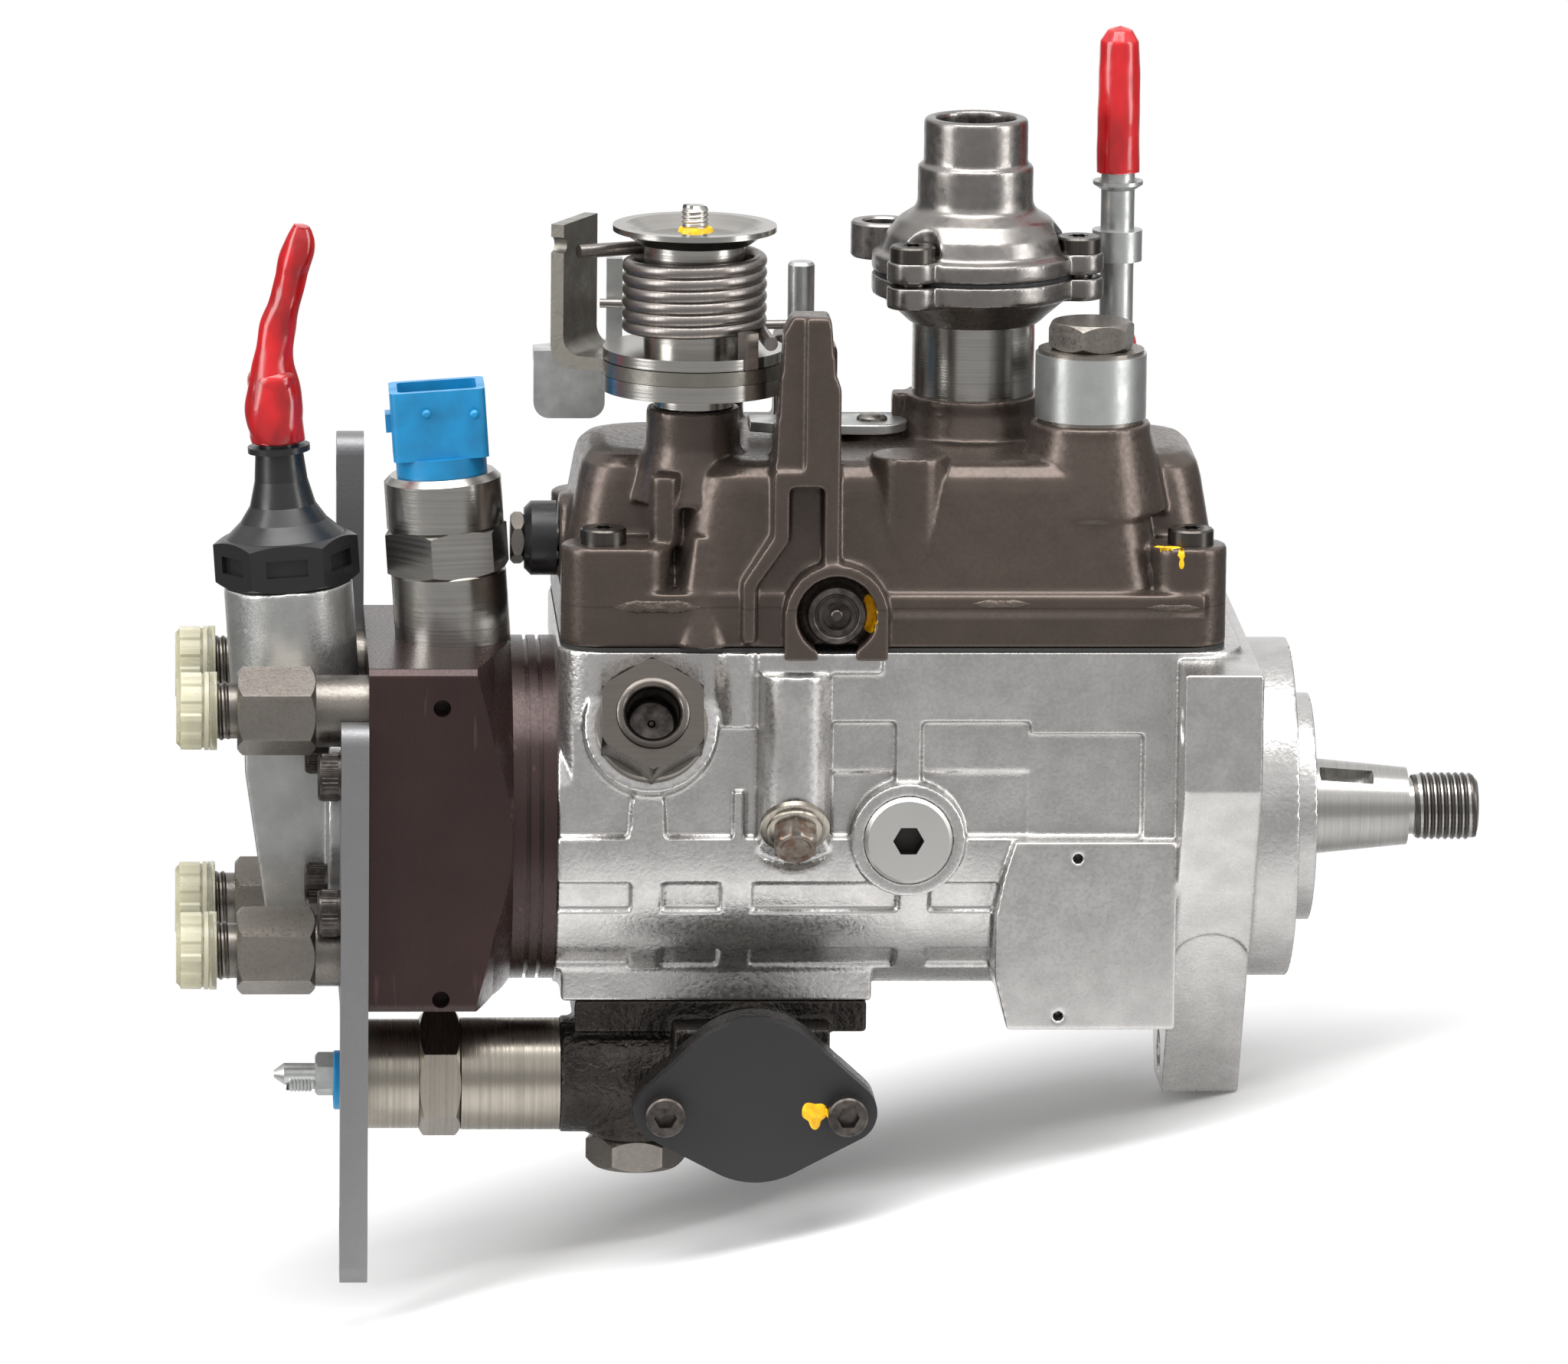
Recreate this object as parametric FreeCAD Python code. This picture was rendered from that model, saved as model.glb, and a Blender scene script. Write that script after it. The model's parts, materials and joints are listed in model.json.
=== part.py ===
# Distributor type fuel injection pump with a governor cover, boost control and cold advance.
# The origin is the centre of the flange face on the drive axis; +X points out along the drive
# shaft, +Z points up to the governor cover and -Y is the side with the hex port and the plug.
import FreeCAD, Part
import math
import os

V = FreeCAD.Vector
X_AXIS = V(1, 0, 0)
Y_AXIS = V(0, 1, 0)
Z_AXIS = V(0, 0, 1)

# Fits
PUSH_FIT = 0.05            # radial room of a fixed piece in its bore
RUN_FIT = 0.03             # radial room of a turning or sliding piece
CLEAR = 0.5                # free air round a moving piece
SEAT = 0.3                 # air between a soft or curved piece and its seat

# Drive end
PILOT_R = 25.0
PILOT_LEN = 5.0
RING_R = 37.25
RING_LEN = 10.0
EAR_THICK = 17.0
EAR_CIRCLE_R = 55.0
EAR_HOLE_R = 4.5
EAR_HALF = 13.0
EAR_REACH = 7.5
FOOT_FACE_R = 8.6              # milled face on the near side of the lower ear
FOOT_FACE_DOWN = 50.4
FOOT_FACE_DEPTH = 1.4
JOURNAL_R = 10.7
TAPER_START = 4.6
TAPER_LEN = 22.2
TAPER_SMALL_R = 8.5
NECK_R = 6.2
THREAD_R = 7.0
NECK_LEN = 1.4
THREAD_LEN = 14.2
KEY_WIDTH = 4.0
KEY_CUTTER_R = 8.0
KEY_FROM_TAPER = 9.0
KEY_DEPTH = 3.6
KEY_ANGLE = -55.0          # degrees from the -Y side towards the top
BUSH_WALL = 3.3
BUSH_LEN = 24.0
SEAL_R = 19.0
SEAL_WIDTH = 4.0

# Housing
BODY_LEFT = -161.5
BODY_HALF = 38.5
HOUSING_WALL = 4.5
JOINT_Z = BODY_HALF + 3.6
PAD_Z = -(BODY_HALF + 0.5) # flat under the housing that carries the advance unit
PAD_HALF = 22.0
PAD_RIGHT = -92.0
CHAMBER_R = BODY_HALF - HOUSING_WALL
CORNER_R = 9.0                # of the housing's upright corners
GOV_CHAMBER_R = CHAMBER_R - 3.0
WELL_HALF = BODY_HALF - 12.5# half width of the opening into the governor cover
WELL_LEFT = -152.0
WELL_RIGHT = -36.0
POCKET_DEPTH = 1.3
RECESS_DEPTH = 1.8
RECESS_STEP = 0.7
RECESS_STEP_Z = 15.5
WALL_LEDGE_Z = 1.0             # ledge on the level of the drive axis
LEFT_RECESS_TOP = JOINT_Z - 16.6
RIGHT_RECESS_TOP = JOINT_Z - 15.4
RECESS_BEND_X = -59.0
RECESS_END_X = -34.5
FLUTE_X = -122.6
FLUTE_R = 6.8
PAD_PROUD = 1.5                # of the pad under the tamper boss
RIB_WIDTH = 6.6
PLATE_FLAT_Y = -(BODY_HALF + 3.5)
PLATE_FLAT_LEFT = -66.4
PLATE_FLAT_RIGHT = -27.0
PLATE_FLAT_TOP = 0.6
PLATE_FLAT_BOTTOM = -(BODY_HALF + 2.5)

# Hydraulic head
HEAD_HALF = BODY_HALF - 0.5
HEAD_LEFT = -202.4
HEAD_SQUARE_RIGHT = -177.0
HEAD_TURN_LEN = 6.0
NECK_RING_R = BODY_HALF - 0.8
SPIGOT_LEN = 31.5
SLEEVE_R = 14.0
ROTOR_R = 9.0
HEAD_HOLE_R = 1.9

# Delivery valve holders on the rear face of the head
OUTLET_Y = HEAD_HALF - 12.0
OUTLET_Z = HEAD_HALF - 11.4
OUTLET_BARREL_R = 7.8
OUTLET_BARREL_LEN = 11.4
OUTLET_FLATS = 17.0
OUTLET_HEX_LEN = 17.0
OUTLET_THREAD_R = 6.0
OUTLET_THREAD_LEN = 11.5
OUTLET_CAP_GAP = 4.4
OUTLET_SEAT_DEPTH = 12.0
OUTLET_SHANK_R = 6.5
CAP_R = 8.0
CAP_LEN = 8.8
CAP_WALL = 1.2

# Bracket plate behind the head
BRACKET_SCREW_Y = HEAD_HALF - 4.0
BRACKET_SCREW_HIGH = HEAD_HALF - 24.5
BRACKET_SCREW_LOW = -(HEAD_HALF - 21.5)
BRACKET_SCREW_R = 3.0
BRACKET_HEAD_R = 5.0
BRACKET_HEAD_LEN = 5.0
PLATE_THICK = 6.0
PLATE_HALF = HEAD_HALF + 3.0
PLATE_ARM = 10.5
PLATE_FOOT_Z = -98.3
PLATE_NEAR_TOP = 25.8
PLATE_FAR_TOP = 77.0
PLATE_BRIDGE_TOP = 16.0
PLATE_BRIDGE_BOTTOM = -HEAD_HALF

# End cover of the transfer pump with the fuel inlet
COVER_DISC_R = math.hypot(OUTLET_Y, OUTLET_Z) - OUTLET_BARREL_R - 5.9
COVER_DISC_LEN = 8.5
COVER_SCREW_Y = 0.532 * COVER_DISC_R
COVER_SCREW_Z = 0.617 * COVER_DISC_R
INLET_X = -219.5
INLET_R = 14.1
INLET_TOP_Z = HEAD_HALF + 12.0
INLET_ARM_BOTTOM = -24.4
INLET_ARM_HALF = 7.5
FITTING_LEAN = 4.0         # degrees, inlet and solenoid lean towards the rear
INLET_BORE_R = 6.0

# Solenoid on the top of the head
SOLENOID_X = -183.4
SOLENOID_R = 12.6
SOLENOID_FLATS = 24.0
SOLENOID_LOW = 14.6
SOLENOID_HEX = 10.5
SOLENOID_HIGH = 11.6
SOLENOID_SEAT = 4.0
PLUNGER_R = 4.0
PLUNGER_LEN = 20.0
PLUNGER_LIFT = 1.6

# Governor cover
COVER_LEFT = -161.0
COVER_RIGHT = -16.5
COVER_NEAR = -BODY_HALF
COVER_FAR = BODY_HALF + 3.5
COVER_WALL = 4.5
COVER_CORNER_R = 10.0
BAND_TOP = JOINT_Z + 19.9
CROWN_Z = JOINT_Z + 40.3
LIP_LOW = JOINT_Z + 8.3
LIP_HIGH = JOINT_Z + 12.6
LIP_PROUD = 1.0
CROWN_INSET = 3.8
CROWN_ROUND = 6.0
SHOULDER_LEFT_X = -137.0     # the high part of the cover is full width only between these two
SHOULDER_RIGHT_X = -30.5
SHOULDER_STEP = 13.5
WALL_STEP = 0.5
PAD_DEPTH = 16.5
GASKET = 0.8
COVER_PAD_Z = JOINT_Z + 22.6
COVER_PAD_R = 8.0
SCREW_LEFT_X = -151.8
SCREW_RIGHT_X = -24.4
SCREW_NEAR_Y = COVER_NEAR + 7.5
SCREW_FAR_Y = COVER_FAR - 7.5
TORX_SHANK_R = 3.0
TORX_HEAD_R = 5.0
TORX_HEAD_LEN = 3.4
TORX_SOCKET_R = 2.4
TOWER_X = -132.0
TOWER_Y = -18.0
TOWER_R = 10.2
TOWER_TOP = CROWN_Z + 10.1
LUG_LEFT = TOWER_X + 17.0
LUG_RIGHT = LUG_LEFT + 13.6
LUG_NEAR = COVER_NEAR - 2.5
LUG_FAR = COVER_NEAR + 8.0
LUG_TOP = CROWN_Z + 33.3
LUG_BOTTOM = CROWN_Z - 3.8
TAMPER_X = -101.6
TAMPER_Y = COVER_NEAR - 3.5
TAMPER_Z = JOINT_Z + 8.4
TAMPER_BOSS_R = 11.3
TAMPER_BORE_R = 8.6
TAMPER_HEAD_R = 6.6
TAMPER_DROP = 1.5              # of the boss below the cover joint
TAMPER_HEAD_LEN = 4.6
TAMPER_SHANK_R = 4.0
TAMPER_SHANK_LEN = 12.0
TAMPER_BOSS_DEPTH = 8.0       # of the boss behind the near wall
SIDE_COLUMN_X = -138.6
SIDE_COLUMN_R = 3.4
BULGE_X = -130.5
BULGE_R = 7.5
PLATE_BOSS_X = -92.0
PLATE_BOSS_Y = 1.0
PLATE_BOSS_R = 6.5
PLATE_BOSS_RISE = 1.6
TAMPER_SEAT = 6.5
TAMPER_SLOT_HALF = 4.0
FRONT_PAD_X = -85.5
FRONT_PAD_R = 8.4
FRONT_PAD_Z = CROWN_Z + 1.6

# Throttle group
THROTTLE_SHAFT_R = 5.0
COLLAR_R = 8.65
DISC_R = 20.0
LEVER_THICK = 3.0
LEVER_Z = TOWER_TOP + 7.5
TAB_REACH = 27.0
TAB_WIDTH = 18.0
TAB_TOP = LEVER_Z + 31.5
TAB_ANGLE = -26.0          # degrees the arm points away from -X, towards the far side
SPRING_R = 14.25
SPRING_WIRE_R = 1.5
SPRING_BOTTOM = LEVER_Z + 7.6
SPRING_TOP = LEVER_Z + 27.0
SPRING_HUB_R = 11.0
SPRING_TURNS = 6.3
SPRING_START = 5.0
SPRING_LEG = 19.0
SPRING_TOP_LEG = 21.0
GUIDE_STOP_ANGLE = -54.0
DISH_R = 17.75
DISH_BOTTOM = LEVER_Z + 28.4
DISH_TOP = LEVER_Z + 32.3
STUD_R = 2.7
STUD_TOP = LEVER_Z + 36.5

# Stop lever group on the far side of the cover
STOP_X = -128.0
STOP_Y = 25.0
STOP_BOSS_R = 9.0
STOP_BOSS_TOP = CROWN_Z + 9.6
STOP_SHAFT_R = 4.0
STOP_LEVER_Z = STOP_BOSS_TOP + 4.0
STOP_TAB_LEFT = -165.6
STOP_TAB_RIGHT = -150.0
STOP_TAB_BOTTOM = STOP_LEVER_Z - 12.0
STOP_TAB_Y = 14.0
STOP_FINGER_TOP = STOP_LEVER_Z + 22.0
STOP_COIL_R = 8.0
STOP_WIRE_R = 1.0
POST_X = -106.5
POST_Y = 25.0
POST_TOP = STOP_LEVER_Z + 21.0
REAR_LUG_TOP = STOP_LEVER_Z + 5.5

# Boost control on the cover
BOOST_X = -69.5
BOOST_Y = 8.0
BOOST_BOSS_R = 15.2
BOOST_BOSS_TOP = CROWN_Z + 8.8
STAND_R = 13.4
STAND_TOP = BOOST_BOSS_TOP + 15.8
DIAPHRAGM_Z = STAND_TOP + 11.0
FLANGE_R = 22.5
FLANGE_THICK = 5.0
BELL_R = 20.0
BELL_TOP = DIAPHRAGM_Z + 14.0
BOOST_NECK_R = 12.65
BOOST_NECK_TOP = BELL_TOP + 10.0
BOOST_TUBE_R = 11.4
BOOST_TUBE_TOP = BOOST_NECK_TOP + 10.0
BOOST_BORE_R = 8.7
BOOST_EAR_R = 5.6
BOOST_EAR_CIRCLE = 22.8

# Fuel return banjo
BANJO_X = -45.7
BANJO_Y = -19.0
BANJO_BOSS_R = 13.2
BANJO_BOSS_TOP = CROWN_Z + 7.3
BANJO_RING_R = 12.1
BANJO_RING_LEN = 14.0
BANJO_BOLT_R = 6.0
BANJO_FLATS = 17.0
BANJO_HEAD_LEN = 6.0
WASHER_THICK = 0.9
PIPE_X = -37.5
PIPE_Y = 18.0
PIPE_R = 3.7
PIPE_BEND_R = 9.0
PIPE_TOP = BANJO_BOSS_TOP + 46.8
PIPE_COLLAR_R = 5.5
SPIGOT_PIPE_Y = 30.0
RED_CAP_R = 5.15
RED_CAP_TOP = PIPE_TOP + 34.5
RED_CAP_BOTTOM = PIPE_TOP + 1.5
SPIGOT_CAP_R = 6.0
SPIGOT_CAP_LEN = 12.0

# Idle screw in the rear wall of the cover
IDLE_Z = JOINT_Z + 17.9
IDLE_SLEEVE_R = 8.15
IDLE_SLEEVE_LEN = 7.0
IDLE_SCREW_R = 3.0
IDLE_HEX_FLATS = 10.0
IDLE_HEX_LEN = 3.0

# Side pieces of the housing
PORT_X = -141.5
PORT_Z = JOINT_Z - 13.1
PORT_TILT = 18.0           # degrees, the port looks up a little
PORT_BOSS_R = 14.5
PORT_FLATS = 22.0
PORT_FACE_Y = -(BODY_HALF + 10.5)
PORT_HEX_LEN = 9.0
PORT_SOCKET_R = 5.6
PORT_SOCKET_DEPTH = 9.0
PORT_SHANK_R = 7.6
PORT_SPOT_R = PORT_FLATS / math.sqrt(3) + 0.4
TUBE_X = -110.3
TUBE_Y = -(BODY_HALF - 2.0)
TUBE_R = 8.0
TUBE_TOP = JOINT_Z - 4.6
TUBE_BOTTOM = -2.0
LOCK_TILT = 35.0
LOCK_FLATS = 8.0
PLUG_X = -85.5
PLUG_Z = 1.0
PLUG_BOSS_R = 12.4
PLUG_R = 9.6
PLUG_FACE_Y = -(BODY_HALF + 3.5)
PLUG_SOCKET_R = 3.4

# Advance unit under the housing
CAM_X = -118.5
CAM_WIDTH = 18.0
CAM_BASE_R = 22.5
CAM_LOBE_R = 9.0
CAM_LOBE_CENTRE = 15.5
STUD_CAM_R = 4.0
ADVANCE_Z = PAD_Z - 17.0
ADVANCE_R = 11.0
ADVANCE_TRAVEL = 6.0
ADVANCE_WALL = 4.5
ADVANCE_SPRING_LEN = 14.0
ADVANCE_NEAR_Y = -46.0
ADVANCE_FAR_Y = 38.0
OVAL_R = 18.0
OVAL_EAR_R = 6.6
OVAL_EAR_X = 19.8
OVAL_THICK = 4.0
CAP_SCREW_R = 2.5
CAP_SCREW_HEAD_R = 4.35
CAP_SCREW_HEAD_LEN = 5.0
ACTUATOR_Y = -12.0
ACTUATOR_Z = ADVANCE_Z - 1.4
ACTUATOR_R = 12.3
ACTUATOR_RIGHT = -160.0
ACTUATOR_LEFT = -208.0
ACTUATOR_HEX_LEFT = -190.9
ACTUATOR_HEX_LEN = 9.3
ACTUATOR_FLATS = 26.0
TERMINAL_R = 2.4
TERMINAL_END = -222.5
TERMINAL_FLATS = 8.5
TERMINAL_NUT_LEN = 5.5
INSULATOR_R = 6.8
INSULATOR_LEN = 2.0
UNDER_BOLT_X = -143.0
UNDER_BOLT_FLATS = 19.0
UNDER_BOLT_LEN = 7.0
UNDER_BOLT_SHANK_R = 5.0

# Governor inside the housing
CAGE_R = GOV_CHAMBER_R - 1.6
INNER_SHAFT_R = 8.0
CAGE_RIGHT = -46.0
CAGE_WEB = 4.0
CAGE_LEFT = -74.0
SLEEVE_BORE_WALL = 2.0
GOV_FLANGE_R = 0.442 * CAGE_R
WEIGHT_PIVOT_X = -53.5
WEIGHT_PIVOT_R = 0.646 * CAGE_R
WEIGHT_WIDTH = 13.0
WEIGHT_INNER_R = 0.51 * CAGE_R
WEIGHT_OUTER_R = CAGE_R - 4.4
WEIGHT_LEFT = -72.0
TOE_R = 0.357 * CAGE_R
TOE_HALF = 1.0
ARM_X = -86.8
ARM_THICK = 2.4
ARM_NOSE = 1.2
ARM_NOSE_GAP = 0.4
ARM_PIVOT_Z = BODY_HALF - 4.5
ARM_TOP = JOINT_Z + 17.9
LINK_Y = 10.0
LINK_Z = JOINT_Z + 13.9
LINK_R = 1.3
LINK_GAP = 0.6
VALVE_X = -146.0
VALVE_R = 3.5
VALVE_BOTTOM = 15.5
TRANSFER_LEN = 6.0
TRANSFER_BORE_R = 11.5
TRANSFER_OFFSET = 0.8
TRANSFER_ROTOR_R = 9.3

# Worked out from the values above
RING_LEFT = -RING_LEN
EAR_LEFT = RING_LEFT - EAR_THICK
BUSH_R = JOURNAL_R + BUSH_WALL
SHAFT_END = TAPER_START + TAPER_LEN + NECK_LEN + THREAD_LEN
SPIGOT_END = BODY_LEFT + SPIGOT_LEN
PLATE_LEFT = HEAD_LEFT - PLATE_THICK
COVER_BASE = JOINT_Z + GASKET
INNER_LEVER_Z = JOINT_Z + 19.9
PORT_AXIS = V(0, -math.cos(math.radians(PORT_TILT)), math.sin(math.radians(PORT_TILT)))
LEAN_AXIS = V(-math.sin(math.radians(FITTING_LEAN)), 0, math.cos(math.radians(FITTING_LEAN)))
FULL_TURN = 360.0


def block(x0, x1, y0, y1, z0, z1):
    """A box between two opposite corners."""
    return Part.makeBox(x1 - x0, y1 - y0, z1 - z0, V(x0, y0, z0))


def bar(radius, start, end):
    """A round bar between two points."""
    axis = end.sub(start)
    return Part.makeCylinder(radius, axis.Length, start, axis)


def bar_x(radius, x0, x1, y=0.0, z=0.0):
    return bar(radius, V(x0, y, z), V(x1, y, z))


def bar_y(radius, y0, y1, x, z):
    return bar(radius, V(x, y0, z), V(x, y1, z))


def bar_z(radius, z0, z1, x, y):
    return bar(radius, V(x, y, z0), V(x, y, z1))


def placed(shape, base, axis, turn=0.0):
    """Moves a shape made about the Z axis to a base point and an axis."""
    spin = FreeCAD.Rotation(Z_AXIS, turn)
    shape.Placement = FreeCAD.Placement(base, FreeCAD.Rotation(Z_AXIS, axis).multiply(spin))
    return shape


def cone_z(r0, r1, z0, z1, x, y):
    return Part.makeCone(r0, r1, z1 - z0, V(x, y, z0))


def turned(profile, base, axis):
    """A turned piece from (distance along the axis, radius) corners."""
    corners = [V(r, 0, h) for h, r in profile]
    face = Part.Face(Part.makePolygon(corners + corners[:1]))
    return placed(face.revolve(V(0, 0, 0), Z_AXIS, FULL_TURN), base, axis)


def hexagon(flats, start, length, axis, turn=0.0, chamfer=0.0):
    """A hexagon bar, with its corners turned off at both ends when a chamfer is given."""
    corner = flats / math.sqrt(3)
    points = [V(corner * math.cos(math.radians(60 * k)), corner * math.sin(math.radians(60 * k)), 0)
              for k in range(6)]
    prism = Part.Face(Part.makePolygon(points + points[:1])).extrude(V(0, 0, length))
    if chamfer:
        rim = flats / 2 * 0.98
        cone = Part.Face(Part.makePolygon([
            V(0, 0, 0), V(rim, 0, 0), V(corner, 0, chamfer), V(corner, 0, length - chamfer),
            V(rim, 0, length), V(0, 0, length), V(0, 0, 0)]))
        prism = prism.common(cone.revolve(V(0, 0, 0), Z_AXIS, FULL_TURN))
    return placed(prism, start, axis, turn)


def slab(points, thickness, base, u_axis, v_axis):
    """A plate with a polygon outline, given by (u, v) corners in the plane of two axes."""
    corners = [base.add(u_axis * u).add(v_axis * v) for u, v in points]
    normal = u_axis.cross(v_axis)
    return Part.Face(Part.makePolygon(corners + corners[:1])).extrude(normal * thickness)


def sector(x0, x1, r0, r1, a0, a1):
    """A piece of a ring about the drive axis between two angles from +Y towards +Z."""
    out = V(0, math.cos(math.radians(a0)), math.sin(math.radians(a0)))
    corners = [out * r + V(x, 0, 0) for x, r in ((x0, r0), (x1, r0), (x1, r1), (x0, r1))]
    face = Part.Face(Part.makePolygon(corners + corners[:1]))
    return face.revolve(V(0, 0, 0), X_AXIS, a1 - a0)


def strap(c1, r1, c2, r2, y0, y1):
    """A plate across Y round two circles of the XZ plane, joined by their tangents."""
    dx, dz = c2[0] - c1[0], c2[1] - c1[1]
    span = math.hypot(dx, dz)
    lean = math.acos((r1 - r2) / span)
    along = math.atan2(dz, dx)
    corners = []
    for centre, radius, side in ((c1, r1, 1), (c2, r2, 1), (c2, r2, -1), (c1, r1, -1)):
        angle = along + side * lean
        corners.append((centre[0] + radius * math.cos(angle), centre[1] + radius * math.sin(angle)))
    web = slab(corners, y1 - y0, V(0, y1, 0), X_AXIS, Z_AXIS)
    return web.fuse([bar_y(r1, y0, y1, c1[0], c1[1]), bar_y(r2, y0, y1, c2[0], c2[1])])


def rounded_outline(x0, x1, y0, y1, z, radius):
    """A closed rectangle with round corners at one height."""
    edges = []
    corners = ((x1 - radius, y0 + radius, -90), (x1 - radius, y1 - radius, 0),
               (x0 + radius, y1 - radius, 90), (x0 + radius, y0 + radius, 180))
    last = None
    first = None
    for cx, cy, start in corners:
        points = [V(cx + radius * math.cos(math.radians(start + a)),
                    cy + radius * math.sin(math.radians(start + a)), z) for a in (0, 45, 90)]
        if last is not None:
            edges.append(Part.LineSegment(last, points[0]).toShape())
        else:
            first = points[0]
        edges.append(Part.Arc(*points).toShape())
        last = points[2]
    edges.append(Part.LineSegment(last, first).toShape())
    return Part.Wire(edges)


def upright(x0, x1, y0, y1, z0, z1, radius):
    """An upright block with round corners."""
    return Part.Face(rounded_outline(x0, x1, y0, y1, z0, radius)).extrude(V(0, 0, z1 - z0))


def tidy(shape):
    """Joins faces that run on into each other."""
    return shape.removeSplitter()


def softened(shape, radius, wanted):
    """Rounds the edges that a test picks out."""
    return shape.makeFillet(radius, [edge for edge in shape.Edges if wanted(edge)])


def near(value, target, room=0.05):
    return abs(value - target) < room


def vertical(edge):
    """True for a straight edge that runs along Z."""
    if len(edge.Vertexes) < 2:
        return False
    step = edge.Vertexes[1].Point.sub(edge.Vertexes[0].Point)
    return math.hypot(step.x, step.y) < 0.01 * abs(step.z)


def socket_screw(head, direction, shank_len, shank_r, head_r, head_len, socket_r):
    """A cap screw whose head seats at a point; the shank runs along the direction."""
    screw = turned([(-head_len, 0), (-head_len, head_r - 0.4), (0.4 - head_len, head_r),
                    (0, head_r), (0, shank_r), (shank_len, shank_r), (shank_len, 0)],
                   head, direction)
    key = hexagon(socket_r * math.sqrt(3), V(0, 0, -head_len - 1), head_len * 0.55 + 1, Z_AXIS)
    return screw.cut(placed(Part.Compound([key]), head, direction))


def cap_screw(head, direction, shank_len):
    return socket_screw(head, direction, shank_len, CAP_SCREW_R, CAP_SCREW_HEAD_R,
                        CAP_SCREW_HEAD_LEN, CAP_SCREW_R)


def port_frame(depth):
    """A point on the axis of the hex port, measured back from its outer face."""
    return V(PORT_X, PORT_FACE_Y, PORT_Z).sub(PORT_AXIS * depth)


def lock_axis():
    """The lock bolt points down and out of the lower end of its boss."""
    tilt = math.radians(LOCK_TILT)
    return V(0, -math.cos(tilt), -math.sin(tilt))


def lock_seat():
    return V(TUBE_X, TUBE_Y - TUBE_R * 0.75, TUBE_BOTTOM + TUBE_R * 0.75)


def cover_screw_spots():
    return [(x, y) for x in (SCREW_LEFT_X, SCREW_RIGHT_X) for y in (SCREW_NEAR_Y, SCREW_FAR_Y)]


def housing_side(body):
    """Cast pockets and ribs on both sides of the round lower half."""
    ribs = (BODY_LEFT, -142.0, -122.5, -84.0, EAR_LEFT)
    rows = ((14.0, 25.0), (42.5, 54.0))
    for low, high in rows:
        for left, right in zip(ribs, ribs[1:]):
            start = left + (RIB_WIDTH / 2 if left > BODY_LEFT else 0)
            end = right - RIB_WIDTH / 2
            for first in (180 + low, -high):
                body = body.cut(sector(start, end, BODY_HALF - POCKET_DEPTH, BODY_HALF + 5,
                                       first, first + high - low))
    return body


def housing_upper(body):
    """The wall between the drive axis and the cover joint, with recesses that end in a ledge."""
    recesses = ((BODY_LEFT - 1, TUBE_X, LEFT_RECESS_TOP, RECESS_DEPTH),
                (TUBE_X, RECESS_BEND_X, RIGHT_RECESS_TOP, RECESS_DEPTH),
                (RECESS_BEND_X, RECESS_END_X, RIGHT_RECESS_TOP - 2.6, RECESS_DEPTH),
                (TUBE_X, RECESS_BEND_X, RECESS_STEP_Z, RECESS_DEPTH + RECESS_STEP))
    for x0, x1, top, depth in recesses:
        for side in (-1, 1):
            y0, y1 = sorted((side * (BODY_HALF - depth), side * (BODY_HALF + 5)))
            body = body.cut(block(x0, x1, y0, y1, WALL_LEDGE_Z, top))
    return body


def housing_ribs():
    """The ribs, columns and pads that stand on the near wall."""
    near_y = -BODY_HALF
    web = slab([(PORT_X - 3.0, PORT_Z - PORT_BOSS_R + 3), (PORT_X + 2.4, PORT_Z - PORT_BOSS_R + 3),
                (PORT_X + 3.4, WALL_LEDGE_Z), (PORT_X - 4.4, WALL_LEDGE_Z)],
               RECESS_DEPTH + 2, V(0, near_y + RECESS_DEPTH + 2, 0), X_AXIS, Z_AXIS)
    fin = slab([(FLUTE_X - 0.6, WALL_LEDGE_Z + 10), (FLUTE_X + 1.4, WALL_LEDGE_Z + 10),
                (FLUTE_X + 1.4, WALL_LEDGE_Z), (FLUTE_X - 0.6, WALL_LEDGE_Z)],
               RECESS_DEPTH + 1, V(0, near_y + RECESS_DEPTH + 1, 0), X_AXIS, Z_AXIS)
    return [web, fin,
            block(PLUG_X - 2.7, PLUG_X + 2.7, near_y, near_y + 4, PLUG_Z, RIGHT_RECESS_TOP + 3),
            block(TUBE_X - TUBE_R, TUBE_X + 18.8, near_y - PAD_PROUD, near_y + 2, TUBE_TOP, JOINT_Z),
            bar_z(FLUTE_R, LEFT_RECESS_TOP, JOINT_Z, FLUTE_X, near_y + FLUTE_R - 1.8)]


def flange():
    """The drive end: pilot, machined ring and a three-cornered plate for the bolts."""
    reach = EAR_CIRCLE_R + EAR_REACH
    tip = EAR_CIRCLE_R * math.cos(math.radians(30)) + EAR_REACH + 1
    low = EAR_CIRCLE_R / 2 - EAR_HALF
    foot = EAR_HALF - 2
    plate = slab([(-tip, low + 2 * EAR_HALF), (-tip, low), (-foot, -reach), (foot, -reach),
                  (tip, low), (tip, low + 2 * EAR_HALF)],
                 EAR_THICK, V(EAR_LEFT, 0, 0), Y_AXIS, Z_AXIS)
    down = V(0, tip - foot, -(low + reach)).normalize()
    out = V(0, down.z, -down.y)
    face = V(EAR_LEFT + EAR_THICK / 2, -tip, low).add(down * FOOT_FACE_DOWN).sub(out * FOOT_FACE_DEPTH)
    spot = bar(FOOT_FACE_R, face, face.add(out * 8))
    run = slab([(0, -FOOT_FACE_R), (reach, -FOOT_FACE_R), (reach, FOOT_FACE_R), (0, FOOT_FACE_R)],
               8.0, face, down, X_AXIS)
    plate = plate.cut([spot, run])
    return plate.fuse([bar_x(RING_R, EAR_LEFT, 0), bar_x(PILOT_R, -1, PILOT_LEN)])


def ear_spots():
    return [(EAR_CIRCLE_R * math.cos(math.radians(a)), EAR_CIRCLE_R * math.sin(math.radians(a)))
            for a in (30, 150, 270)]


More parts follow.
